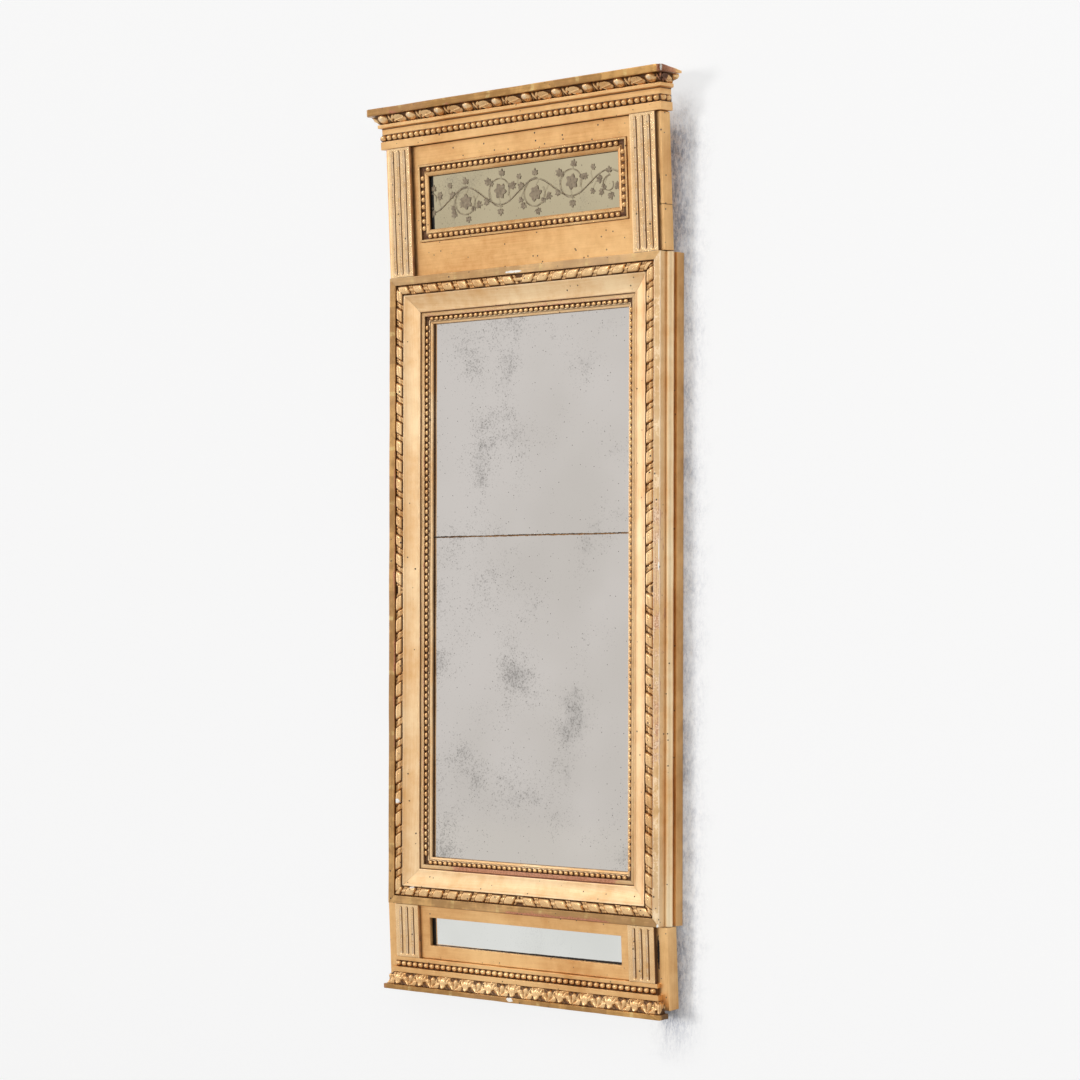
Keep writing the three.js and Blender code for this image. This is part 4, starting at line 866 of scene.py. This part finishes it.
def pilaster(name, part, middle, width, face, thick, foot, top, node, seed):
    """Stations run up the pilaster. Each flute is a cylinder of radius 3.25
    cut 2.2 deep, closed by a ball at its ends: depth = sqrt(R^2 - r^2) - 1.05,
    where r is the distance from the flute's middle line."""
    half, height = width / 2, top - foot
    flute = 3.1 * np.sin(np.linspace(-pi / 2, pi / 2, 13))
    x = (FLUTES[:, None] + flute).ravel()
    x = np.concatenate([[-half, -half + 0.25, -half + 0.9], x, [half - 0.9, half - 0.25, half]])
    rim = np.zeros(len(x))
    rim[:2], rim[-2:] = (0.9, 0.2), (0.2, 0.9)
    end = np.linspace(0, 9, 22)
    z = np.concatenate([end, np.linspace(9, height - 9, 40)[1:-1], height - end[::-1]])
    stops = 2.6 + FLUTE_R
    beyond = np.maximum(0, np.maximum(stops - z, z - (height - stops)))[:, None]
    shift = wander(z, seed, 0.18)[:, None]
    centre = FLUTES[np.argmin(np.abs(x[:, None] - FLUTES), 1)]
    r2 = (x - centre) ** 2 + beyond**2
    depth = np.maximum(0, np.sqrt(np.maximum(0, FLUTE_R**2 - r2)) - 1.05)
    depth = depth * (np.abs(x - centre) < 3.2)
    inner = np.concatenate([np.abs(x) < half - 1, [False, False]])
    ring_x = np.concatenate([x, [half, -half]]) + shift * inner
    behind = np.zeros((len(z), 2))
    ring_d = np.hstack([face + depth + rim, behind + face + thick])
    points = stand(places(ring_x + middle, ring_d, z[:, None] + foot), part)
    side = np.concatenate([[1.0], np.zeros(len(x) - 2), [1.0, 1.0, 1.0]])
    # lit: a painted highlight on each flute's left wall, which faces right; deep: painted shade
    # along the flute's bottom.
    lit = np.clip((centre - x - 0.3) / 1.2, 0, 1) * np.clip(depth * 6, 0, 1)
    deep = np.clip(depth * 3, 0, 1) * (np.abs(x - centre) < 1.4)
    relief = np.hstack([1 - 0.25 * depth + 0.3 * lit - 0.25 * deep, behind + 0.8])
    # The side faces are darker: soiling and painted shade, more on the right pilaster.
    grime_and_shade = (0.95 if middle > 0 else 0.62) * side
    marks = (relief, 0.08 + 0.35 * side, grime_and_shade, np.hstack([1.5 * lit, behind]))
    piece(name, [(points, marks)], [GILT_PILASTER], [node], crease=50)


for side, sign in (("left", -1), ("right", 1)):
    name, node = f"fluted_crest_{side}", f"crest_pilaster_{side}"
    pilaster(name, CREST, sign * 220, 42, 0, 5, 0.3, 181.5, node, 30 + sign)

# ------------------------------------------- crest: side boards and panel
# Pine side boards with a short slip let in at the right foot, and a panel with
# the opening for the small plate: gilt in front and outside, bare behind.
for name, node in (
    ("crest_board_left", "crest_side_left"),
    ("crest_board_right", "crest_side_right"),
    ("crest_slip", "crest_slip_right"),
):
    board_piece(name, node, [GILT_SIDE, PINE_UP], 0.8)
board_piece("crest_field", "crest_panel", [GILT_FIELD, PINE_ACROSS], 0.6)

# ------------------------------------------- crest: beaded frame and plate
# Four mitred lengths round the small plate: an outer step, a string of beads
# over red bole, and a thin lip. The plate is painted behind with a scroll.
GILT_CREST_BEADS = gilding(
    "crest_beads_gilding", "F2C88E", "B97C3E", rough=0.2, hollow_shade_and_soiling=1.2, bole=0.05
)
STEP_W, STEP_H, STEP_FOOT, STEP_FRONT = 376.0, 107.6, 46.9, 5.3
front = [(0, 14.7), (0, 0), (3, 0), (3, 3.2), (11.2, 3.2), (11.2, 1.6)]
outline, near = eased(front + [(16.6, 3.2), (16.6, 6.7), (12.6, 6.7), (12.6, 14.7)], 0.5)
# How open each point lies, for painted shade in the step's hollows.
open_ = relief_of(outline, 4.0, 2.4)
for number, side in enumerate(SIDES):
    length = side_length(side, STEP_W, STEP_H)
    frame_of = (side, STEP_W, STEP_H, STEP_FRONT, STEP_FOOT + STEP_H / 2)
    along, a = mitred(outline, length, 6)
    d = outline[:, 1] + wander(along, 51 + number, 0.1)
    parts = [(stand(run_on_side(along, a, d, *frame_of), CREST), (open_, 0.14, 0.0, near))]
    string = string_of_beads(length, 7.1, 3.7, 3.1, 4.0, 10.0, 11.5, 80 + number, 0.76)
    relief = string[3]
    # Low relief between the beads gives painted shade and red bole, with more bole on the head and
    # foot rows.
    red = 0.5 * (1 - relief) * (0.4 if side in ("left", "right") else 1.0)
    marks = (0.25 + 0.75 * relief, 0.12 + red)
    parts.append((stand(run_on_side(*string[:3], *frame_of), CREST), marks))
    node = f"crest_glass_frame_{side}"
    piece(f"plate_frame_{side}", parts, [GILT_CREST_BEADS], [node], crease=60)

# The small plate's dark band on the left is painted shade of the rebate.
GREEN = silvering("green_silver", "D8CAA8", "C9BB99", 0.45, dark_edge=0.1668)
plate("crest_plate", CREST, 175, (59.9, 141.5), (13.4, 14.2), GREEN, "crest_glass")
board_piece("crest_closing_board", "crest_backboard", [PINE_ACROSS], 1.0)

# ------------------------------------------------- crest: painted scroll
# A flowing stem painted in brown on the small plate, its branches coiling round
# open flowers, with small leaf sprigs. The paint stands a hair off the glass.
p = Paint(bpy.data.materials.new("scroll_paint"))
wash = p.noise(p.coords(), 180, 4, 0.7)
colour = p.mix(wash.over(0.3, 0.75), "7A6A55", "A3937A")
worn = (p.noise(p.coords(), 700, 2, 0.8) + wash * 0.4).over(0.42, 0.6) * 0.45 + 0.5
SCROLL_PAINT = p.surface(colour, 0.42 + wash * 0.2, Alpha=worn)


def stroke(path, width, level):
    """A brush stroke: a thin closed strip along a path in the plate's plane,
    its half width given at each point, 0.06 mm thick."""
    path = np.asarray(path, float)
    ahead = np.gradient(path, axis=0)
    ahead = ahead / np.maximum(1e-6, np.linalg.norm(ahead, axis=1))[:, None]
    off = np.stack([-ahead[:, 1], ahead[:, 0]], 1) * np.asarray(width)[:, None]
    across = np.stack([path + off, path - off, path - off, path + off], 1)
    return places(across[..., 0], [level, level, level + 0.06, level + 0.06], across[..., 1])


def blade(root, angle, length, width, bend, level):
    """A leaf or petal: its half width follows sin^0.7 of the way to the tip
    and its middle bends by a share of the length squared."""
    t = np.linspace(0, 1, 9)[:, None]
    c, s = np.cos(angle), np.sin(angle)
    path = root + length * t * np.array([c, s]) + bend * length * t**2 * np.array([-s, c])
    return stroke(path, 0.05 + width * np.sin(pi * t[:, 0] ** 0.8) ** 0.7, level)


def sprig(root, angle, size, rng, level):
    """Five blunt leaves fanned from a point, the middle one the longest."""
    leaves_ = []
    fan = ((-1.25, 0.62), (-0.62, 0.85), (0.0, 1.0), (0.62, 0.85), (1.25, 0.62))
    for k, (turn, share) in enumerate(fan):
        lean = angle + turn + rng.uniform(-0.12, 0.12)
        leaf = blade(root, lean, size * share, size * 0.2, 0.12 * turn, level + 0.07 * k)
        leaves_.append(leaf)
    return leaves_


def stem_height(x):
    """The stem waves along the plate's middle line."""
    return MIDLINE + 14.5 * np.sin(2 * pi * x / 128 + 0.5)


MIDLINE, LEVEL = 100.7, 12.4
rng = np.random.default_rng(17)
x = np.linspace(-166, 166, 240)
stem = np.stack([x, stem_height(x)], 1)
grids = [stroke(stem, np.full(240, 0.38), LEVEL)]
grids.append(stroke(stem + [0.8, 1.3], np.full(240, 0.16), LEVEL))
for k in range(-3, 3):
    middle = (k + 0.5 - 0.5 / pi) * 64.0
    up = -1 if k % 2 else 1
    centre = np.array([middle + rng.uniform(-2, 2), MIDLINE - up * 4.5])
    if abs(centre[0]) > 175:
        continue
    full = abs(centre[0]) < 150
    turn = np.linspace(0, 1, 70)
    angle = up * (0.45 * pi + 1.72 * pi * turn)
    radius = (23.0 if full else 13.0) - 6.5 * turn
    coil = centre + radius[:, None] * np.stack([np.cos(angle), 0.93 * np.sin(angle)], 1)
    grids.append(stroke(coil, 0.42 - 0.2 * turn, LEVEL + 0.1))
    grids.append(stroke(centre + (coil - centre) * 0.93, np.full(70, 0.14), LEVEL + 0.1))
    start = rng.uniform(0, 2 * pi)
    for j in range(6 * full):
        size, level = 11.2 + rng.uniform(-1, 1), LEVEL + 0.2 + 0.07 * (j % 3)
        grids.append(blade(centre, start + j * pi / 3, size, 3.9, 0.15, level))
    for j in range(6 * full):
        level = LEVEL + 0.45 + 0.07 * (j % 2)
        grids.append(blade(centre, start + 0.5 + j * pi / 3, 6.2, 1.9, 0.1, level))
    for share in (0.04, 0.24, 0.44, 0.64, 0.86):
        root = coil[int(share * 69)]
        out = np.arctan2(*(root - centre)[::-1])
        tip = np.array([np.cos(out), np.sin(out)]) * 4.5
        if abs(root[1] + tip[1] * 2.2 - MIDLINE) < 33:
            grids.append(blade(root, out, 5.0, 0.16, 0.3, LEVEL + 0.15))
            grids += sprig(root + tip, out, 8.6 + rng.uniform(-0.8, 1.0), rng, LEVEL + 0.25)
for x0 in np.arange(-158, 160, 18.3):
    height = stem_height(x0)
    side = 1 if height < MIDLINE else -1
    far = side * rng.uniform(0.3, 0.9)
    curl = np.linspace(0, 1, 24)
    hook_x = x0 + 11 * curl * far + 3.4 * np.sin(5.4 * curl)
    hook = np.stack([hook_x, height + side * (17 * curl - 3 * np.sin(4.6 * curl))], 1)
    hook = hook[(np.abs(hook[:, 1] - MIDLINE) < 34) & (np.abs(hook[:, 0]) < 169)]
    if len(hook) > 6:
        grids.append(stroke(hook, np.full(len(hook), 0.16), LEVEL + 0.05))
        grids += sprig(hook[-1], np.arctan2(side, far), 7.2, rng, LEVEL + 0.3)
sight = np.array([[-170, -np.inf, 65], [170, np.inf, 136.5]])
parts = [(stand(np.clip(grid, *sight), CREST), ()) for grid in grids]
piece("painted_scroll", parts, [SCROLL_PAINT], crease=80)

# ------------------------------------------- cornice: plain mouldings
# Pine mouldings wrapped round the crest's head with short returns: core,
# architrave, beads, a fascia with a list, egg-and-leaf ovolo and cover board.
board_piece("cornice_block", "cornice_core", [GILT_SIDE, PINE_ACROSS], 0.8)


def wrapped(outline, box, step=6.0, cut=None):
    """A section swept along the left return, the front and the right return of
    a box (half width, front, rear). The section is (out, height) pairs; rows
    against the core have an out near 0. A cut gives the swelling from the place
    along the run, measured in X and carried on round the corners, the height
    and the plain out. Gives the points and how far out each is."""
    half, front, rear = box
    out, z = np.asarray(outline, float).T
    x = np.linspace(-half, half, int(2 * half / step) + 1)[1:-1]
    side = np.linspace(1, 0, max(3, int((rear - front + out.max()) / step) + 1))
    corner = np.linspace(0, 1, 9 if cut else 2)[:-1]
    one, level = np.ones(len(side)), np.zeros(len(x) + 2 * len(corner))
    base = np.concatenate([-half * one, -half + 0 * corner, x, half + 0 * corner, half * one])
    share = np.concatenate([-one, -corner[::-1], 0 * x, corner, one])
    back = np.concatenate([side, level, side[::-1]])[:, None]

    def build(grown):
        """Points for each station: a share of the out goes sideways, and on a
        return the depth runs from the front's face to the rear."""
        d = front - grown + back * (rear - front + grown)
        return places(base[:, None] + share[:, None] * grown, d, z)

    flat = np.broadcast_to(out, (len(base), len(out)))
    plain = build(flat)
    if cut is None:
        return plain, flat
    turned = np.arange(len(base))[:, None]
    past = plain[..., 1] - (front - out)
    on_left, on_right = turned < len(side), turned >= len(base) - len(side)
    run = plain[..., 0] + np.where(on_left, -past, 0) + np.where(on_right, past, 0)
    grown = out + np.where(out > 0.5, cut(run, z), 0)
    return build(grown), grown


def bevel_round(section, radius):
    """Eases a section's corners; the rows against the core stay in place."""
    points, near = eased(section, radius)
    return np.stack([np.maximum(points[:, 0], 0.12), points[:, 1]], 1), near


def plain_run(name, section, box, part, node, marks, radius=0.6, seed=0):
    """A smooth wrapped moulding: marks gives rub, darkening and laps. Its
    section's openness paints shade in the hollows, painted shade is added in
    the hollow corners, and a dark joint where it meets the core.
    """
    outline, near = bevel_round(section, radius)
    points, _ = wrapped(outline, box)
    points[..., 2] += wander(points[..., 0], seed, 0.1)
    turned = np.stack([outline[:, 1], -outline[:, 0]], 1)
    # Painted shade in the hollows and hollow corners, and a dark joint against the core.
    open_ = np.clip(relief_of(turned, 5.0, 9.0) * 1.1, 0, 1)
    outer = np.where(outline[:, 0] > 0.5, 1.0, 0.0)
    crevice_shade_and_joint = 0.8 * crevices(outline, near) + 0.5 * (1 - outer)
    rub, grime_and_shade, laps = (m(points) if callable(m) else m for m in marks)
    marks = (open_, rub, grime_and_shade + crevice_shade_and_joint, near * 0.8 * outer, laps * outer)
    piece(name, [(stand(points, part), marks)], [GILT_CORNICE, PINE_ACROSS], [node])


CORNICE = (246.2, 6.5, 24.8)
CORNICE_CHIPS = (
    (0.2590, 0.2575, 0.0045, 0.0014),
    (0.2640, 0.2690, 0.0016, 0.0050),
    (-0.0120, -0.9665, 0.0060, 0.0030),
)
GILT_CORNICE = gilding("cornice_gilding", "F3C68A", "C98B48", chips=CORNICE_CHIPS)


def near_right_end(points):
    return 0.06 + 0.12 * soft_box(points[..., 0], points[..., 2], 150, 260, 0, 400)


list_foot, list_top = [(0, 203.0), (4.8, 203.0), (4.8, 211.3)], [(9.2, 212.6), (9.2, 217.3)]
for name, section, node, seed in (
    ("architrave_run", [(0, 182.1), (6.5, 182.1), (6.5, 193.3), (0, 193.3)], "architrave", 21),
    ("fascia_run", [*list_foot, *list_top, (0, 217.3)], "cornice_fascia", 22),
):
    plain_run(name, section, CORNICE, CREST, node, (near_right_end, 0.0, 0.0), seed=seed)


def bead_rows(name, box, part, z0, z1, bed, out, node, seed, pitch=10.7):
    """Beads on a wrapped band: a bed behind, and one string along the front
    and one down each return, every bead a half-ellipsoid."""
    half, front, rear = box
    middle, wide = (z0 + z1) / 2, (z1 - z0) / 2
    points, _ = wrapped([(0.12, z0), (bed, z0), (bed, z1), (0.12, z1)], box)
    parts = [(stand(points, part), (0.35, 0.35, 0.1))]
    rng = np.random.default_rng(seed)
    for side in (-1, 0, 1) if rear - front > pitch else (0,):
        reach = (rear - front if side else half) + out - 1.0
        x, inside = bead_places(0.5 if side else -reach, reach, pitch)
        across, height, round_ = bead_section(inside, 0.8, out - bed, 10)
        uneven = 1 + 0.05 * rng.standard_normal(len(x) // 9).repeat(9)[:, None]
        v, h = footed(
            middle + wide * 0.92 * across, height * round_ * uneven, middle, wide * 0.55, 0.4
        )
        if side:
            grid = places(side * (half + bed + h), rear - x[:, None], v)
        else:
            grid = places(x[:, None], front - bed - h, v)
        # Low relief between the beads gives painted shade and bole; their tops get a painted
        # highlight with wear.
        relief = np.clip(h / (out - bed), 0, 1) ** 0.7
        marks = (0.15 + 0.85 * relief, 0.1 + 0.3 * (1 - relief), 0, 0.9 * relief**6)
        parts.append((stand(grid, part), marks))
    piece(name, parts, [GILT_BEADS], [node], crease=60)


bead_rows("cornice_bead_row", CORNICE, CREST, 193.6, 202.7, 5.0, 11.3, "cornice_beads", 61)

# ---------------------------------------------------- cornice: egg-and-leaf
# The ovolo is carved with eggs in open shells, each with a dart beside it and
# a pointed leaf that sweeps right to the next egg.


def dome(u, w, cu, cw, ru, rw, tilt=0.0):
    """1 - distance squared from an ellipse's middle, tilted: above 0 inside."""
    c, s = np.cos(tilt), np.sin(tilt)
    a, b = (u - cu) * c + (w - cw) * s, (w - cw) * c - (u - cu) * s
    return 1 - (a / ru) ** 2 - (b / rw) ** 2


def ridge(u, w, points, width, height):
    """A rib along a broken line: a bell of the distance from each leg, the
    highest taken."""
    best = np.full(np.broadcast(u, w).shape, np.inf)
    for (u0, w0), (u1, w1) in zip(points, points[1:]):
        leg = (u1 - u0) ** 2 + (w1 - w0) ** 2
        t = np.clip(((u - u0) * (u1 - u0) + (w - w0) * (w1 - w0)) / leg, 0, 1)
        best = np.minimum(best, np.hypot(u - u0 - t * (u1 - u0), w - w0 - t * (w1 - w0)))
    return height * np.exp(-((best / width) ** 2))


EGG_PITCH, TO_LEAF = 53.7, 9.6


def egg_and_leaf(run, z):
    """Swelling over the plain ovolo. u is the place from an egg's middle in a
    pitch of 53.7, and w the height from the moulding's middle. The leaf is an
    ellipse with a rim and a midrib; left of it are curled lobes, half-ellipses
    parted by dark clefts."""
    u = (run + 241.6 + TO_LEAF) % EGG_PITCH - TO_LEAF
    w = np.broadcast_to(z - 223.2, u.shape)
    body = dome(u, w, 0, 0.6, 8.3, 7.0)
    cup = np.clip(1 - np.abs(dome(u, w, 0, -0.4, 9.9, 7.6)) / 0.22, 0, 1) * (w < 1.5)
    h = -3.3 + 2.0 * cup
    for high, *lobe in (
        (3.2, 13.2, 0.6, 1.9, 6.2, 0.35),
        (3.0, 18.6, 2.2, 2.3, 5.0, -0.55),
        (2.8, 20.0, -3.4, 3.6, 2.2, 0.5),
        (2.6, 25.2, 3.3, 3.4, 2.4, 0.3),
    ):
        h = np.maximum(h, -3.3 + high * np.clip(dome(u, w, *lobe), 0, 1) ** 0.45)
    blade_ = dome(u, w, 31.6, -0.5, 11.2, 5.4, -0.16)
    leaf = -3.3 + np.clip(blade_ * 9, 0, 1) * (2.3 + 0.9 * np.exp(-(((blade_ - 0.14) / 0.12) ** 2)))
    leaf = leaf - 0.9 * np.clip(blade_, 0, 1) * np.cos((u + 0.8 * w) * 0.95) ** 2
    h = np.where(blade_ > 0, np.maximum(leaf, h - 0.8), h)
    midrib = ridge(u, w, [(21.5, -3.2), (28.0, -1.8), (35.0, -1.0), (42.0, 0.4)], 0.7, 1.0)
    h = h + midrib * (blade_ > 0)
    egg = -3.4 + 7.6 * np.sqrt(np.clip(body, 0, 1))
    return np.where(body > 0, np.maximum(egg, h), h)


t = np.linspace(0, 1, 23)
ovolo = np.stack([7.2 + 8.4 * np.sin(pi / 2 * t) ** 0.85, 217.7 + 11.0 * t], 1)
outline = np.concatenate([[(0.12, 217.7)], ovolo, [(0.12, 228.7)]])
points, grown = wrapped(outline, CORNICE, 0.85, egg_and_leaf)
swell = grown - outline[:, 0]
# lie gives painted shade in the carving's hollows and crown a painted highlight with wear on the
# eggs' tops; wood marks the broken right end.
lie = np.clip(1.02 + swell / 4.3, 0.0, 1)
wood = soft_box(points[..., 0], points[..., 2], 256, 300, 216, 300, 3.0) * (points[..., 1] < 8)
crown = np.clip((swell - 2.4) / 1.4, 0, 1) * 1.6
parts = [(stand(points, CREST), (lie, 0.05 + 0.9 * wood, 0.05 + 0.45 * wood, crown))]
piece("carved_ovolo", parts, [GILT_CARVED], ["egg_and_leaf"], crease=75)

# ------------------------------------------------------ cornice: cover board
# A planed board over the ovolo with rounded front corners, gilt on its edge in
# leaves that overlap; the right front corner is broken to red-brown wood.
CORNER, SQUARE, UNDER, OVER = 6, 261.6, 229.2, 239.1
turn = CORNER * np.cos(np.linspace(0, pi / 2, 9))
x = np.concatenate([-SQUARE - turn, np.linspace(-258, 250, 90), 251 + 16.6 * np.linspace(0, 1, 26)])
x = x[:, None]
round_ = ((np.abs(x) - SQUARE).clip(0, CORNER) / CORNER) ** 2
back = CORNER * (1 - np.sqrt(np.clip(1 - round_, 0, 1)))
outline, near = eased([(27.0, UNDER), (-15.0, UNDER), (-15.0, OVER), (27.0, OVER)], 1.0)
rng = np.random.default_rng(9)
jag = np.clip((x - 254.5) / 7, 0, 1) * (1.2 + 0.9 * rng.uniform(-1, 1, x.shape))
front = outline[:, 0] < 0
lean = 1 + 0.5 * np.sin(outline[:, 1] * 1.3 + x * 0.7) * (jag > 0)
d = outline[:, 0] + front * (back + 1.6 * jag * lean + 0.12)
z = outline[:, 1] + wander(x, 33, 0.12)
fall = 6.5 * np.clip((x - 252) / 15, 0, 1) ** 1.3 * np.clip((d + 15) / 30, 0, 1)
z = z - fall * np.clip((outline[:, 1] - UNDER) / (OVER - UNDER), 0, 1)
spots = sum(soft_box(x, 0 * x, c - w, c + w, -1, 1, 5) for c, w in ((-213, 4), (-110, 5), (-84, 3)))
broken = np.clip((x - 257) / 3, 0, 1) * front
rub = 0.07 + 0.45 * spots * (0.4 + 0.6 * (z < 234)) + 0.9 * broken
parts = [(stand(places(x, d, z), CREST), (1, rub, 0.26 * front + 0.4 * broken, near * 0.7, front))]
piece("cornice_top", parts, [GILT_CORNICE, PINE_ACROSS], ["cornice_cover"])

# ---------------------------------------------------------- base: pilasters
# The base repeats the crest below the frame: short pilasters whose flutes stop
# above the mouldings, side boards, and a bevelled panel round a narrow plate.
for side, sign in (("left", -1), ("right", 1)):
    name, node = f"fluted_base_{side}", f"base_pilaster_{side}"
    pilaster(name, BASE, sign * 211.6, 44, 2, 6, -75.0, -0.735, node, 35 + sign)
for side in ("left", "right"):
    board_piece(f"base_board_{side}", f"base_side_{side}", [GILT_SIDE, PINE_UP], 0.8)
board_piece("base_field", "base_panel", [GILT_FIELD, PINE_ACROSS], 0.5)
board_piece("base_block", "base_core", [PINE_ACROSS], 0.8)
board_piece("base_closing_board", "base_backboard", [PINE_ACROSS], 0.8)
# The base plate's dark band on the left and the line at its foot are painted shade of the rebate.
PALE = silvering("pale_silver", "F4F5F1", "E6E7E2", 0.12, dark_edge=0.1685, dark_foot=-0.9052)
plate("base_plate", BASE, 176.9, (-59.2, -14.2), (15.9, 16.7), PALE, "base_glass")

# --------------------------------------------------- base: plain mouldings
# Band, beads, fascia, carved leaves and a projecting foot fillet, returned at
# the ends. The foot is gilt in lapped leaves and its left end is rubbed red.


def foot_wear(points):
    return 0.08 + 0.5 * soft_box(points[..., 0], points[..., 1], -300, -238, -40, 40, 6)


def right_end(points):
    return 0.9 * soft_box(points[..., 0], points[..., 1], 246, 300, -6, 40, 4)


BASE_BOX = (231.7, 7.7, 8.1)
for name, out, z0, z1, marks, radius, seed in (
    ("band", 6, -80.9, -75.4, (0.06, 0.0, 0.0), 0.6, 23),
    ("fascia", 9.3, -97.1, -89.6, (0.05, 0.0, 0.0), 0.6, 24),
    ("foot", 17.6, -120.8, -113.9, (foot_wear, right_end, 1.0), 0.9, 25),
):
    section = [(0, z0), (out, z0), (out, z1), (0, z1)]
    plain_run(f"base_{name}_run", section, BASE_BOX, BASE, f"base_{name}", marks, radius, seed)
bead_rows("base_bead_row", BASE_BOX, BASE, -89.2, -80.9, 4.0, 9.0, "base_beads", 62)

# ---------------------------------------------------- base: carved leaves
# A hollow-and-round carved with broad tongues and, between them, three-lobed
# leaves that lean to the right.


LEAF_PITCH = 43.0


def leaves(run, z):
    """Swelling over the plain section. u is the place from a tongue's middle
    in a pitch of 43, w the height from the moulding's middle. Lobes spread from
    roots like fans: |cos| of the angle gives round lobes with sharp clefts
    between them, and 1 - |sin| a fine ridge along each."""
    u = (run + 226.5 + LEAF_PITCH / 2) % LEAF_PITCH - LEAF_PITCH / 2
    w = np.broadcast_to(z + 105.4, u.shape)
    h = np.full(u.shape, -2.4) + 0.4 * np.cos((u + 2 * w) * 0.9)
    fans = (
        (-21.5, -9.0, 0.15, 1.35, 16.0, 3.3),
        (21.5, -9.0, 0.15, 1.35, 16.0, 3.3),
        (-9.5, 9.0, 2.75, 0.95, 14.0, 3.0),
        (10.5, 9.5, -2.7, 0.95, 13.5, 3.4),
    )
    for root, foot, lean, spread, size, count in fans:
        angle = (np.arctan2(u - root, w - foot) - lean + pi) % (2 * pi) - pi
        far = np.hypot(u - root, w - foot)
        lobe = 0.6 * np.abs(np.cos(angle * count)) + 0.4 * (1 - np.abs(np.sin(angle * count)))
        fan = np.clip((size * (0.8 + 0.2 * lobe) - far) / 1.2, 0, 1) * (np.abs(angle) < spread)
        rise = (0.7 + 2.9 * lobe) * (0.72 + 0.28 * np.clip(far / size, 0, 1))
        h = np.maximum(h, -2.7 + fan * rise)
    tongue = dome(u, w, 0, -0.4, 5.6, 8.0)
    vein = np.exp(-(((np.abs(u) - 0.08 * w - 0.3) / 0.55) ** 2))
    rise = 1.9 + 1.7 * np.sqrt(np.clip(tongue, 0, 1))
    middle = -2.4 + np.clip(tongue * 5, 0, 1) * rise - vein
    return np.where(tongue > 0, np.maximum(middle, h - 0.9), h)


t = np.linspace(0, 1, 25)
hollow = 9.3 + 6.0 * (1 - t) ** 0.9 + 1.4 * np.sin(2 * pi * (1 - t)) * 0.6
hollow = np.stack([hollow, -113.4 + 15.9 * t], 1)
outline = np.concatenate([[(0.12, -113.4)], hollow, [(0.12, -97.5)]])
points, grown = wrapped(outline, BASE_BOX, 0.85, leaves)
swell = grown - outline[:, 0]
# lie gives painted shade in the carving's hollows; the edge mark gives the ridges a painted
# highlight with wear.
lie = np.clip(1.0 + swell / 3.4, 0.0, 1)
marks = (lie, 0.06, right_end(points) * 0.6, np.clip(swell - 0.3, 0, 1) * 0.9)
parts = [(stand(points, BASE), marks)]
piece("carved_leaves", parts, [GILT_CARVED], ["base_leaves"], crease=75)

# --------------------------------------------------------- staple and ring
# A forged iron eye on a small plate, nailed to the cornice block behind, and a
# free ring of iron wire in it for the wall hook.
p = Paint(bpy.data.materials.new("old_iron"))
rust = p.noise(p.coords(), 160, 5, 0.65)
colour = p.mix(rust.over(0.4, 0.65), "57524D", "6B432B")
inputs = {"Metallic": 1 - rust.over(0.42, 0.62) * 0.8, "Normal": p.bump(rust, 0.4, 0.0005)}
IRON = p.surface(colour, 0.42 + rust * 0.4, **inputs)


def wire(path, radius, around=12):
    """A round wire along a path: a ring of points square to it, per station."""
    path = np.asarray(path, float)
    ahead = np.gradient(path, axis=0)
    ahead = ahead / np.linalg.norm(ahead, axis=1)[:, None]
    side = np.cross(ahead, [1.0, 0.0, 0.0])
    side = side / np.linalg.norm(side, axis=1)[:, None]
    third = np.cross(ahead, side)
    angle = np.linspace(0, 2 * pi, around, endpoint=False)[:, None]
    spokes = np.cos(angle) * side[:, None, :] + np.sin(angle) * third[:, None, :]
    return path[:, None, :] + radius * spokes


turn = np.linspace(pi / 2, -pi / 2, 19)
arc = places(0, 30.6 + 5.5 * np.cos(turn), 205 + 5.5 * np.sin(turn))
eye = [[(0, 26.1, 210.5), (0, 28.5, 210.5)], arc, [(0, 28.5, 199.5), (0, 26.1, 199.5)]]
z = np.array([-13.0, -12.6, -11.0, 0.0, 11.0, 12.6, 13.0])[:, None]
wide = 18 - np.array([1.2, 0.35, 0.0, 0.0, 0.0, 0.35, 1.2])[:, None]
thick = np.array([25.35, 25.35, 26.85, 26.85]) + 0.12 * (wide < 17)
flat = places(np.array([-1, 1, 1, -1]) * wide, thick, 205 + z)
parts = [(stand(wire(np.concatenate(eye), 1.75), CREST), ()), (stand(flat, CREST), ())]
piece("wall_staple", parts, [IRON], ["ring_staple"], crease=45)
RING_R, WIRE_R, RING_D, RING_Z = 18, 1.95, -20.09, 222.17
turn = np.linspace(0, 2 * pi, 73)[:-1, None]
angle = np.linspace(0, 2 * pi, 17)[None, :-1]
reach, d = RING_R + WIRE_R * np.cos(angle), RING_D + WIRE_R * np.sin(angle)
ring = places(reach * np.sin(turn), d, RING_Z + reach * np.cos(turn)) / 1000
piece(
    "wall_ring", [(ring, ())], [IRON], ["hanging_ring"], body="ring", crease=60, loop=True
)
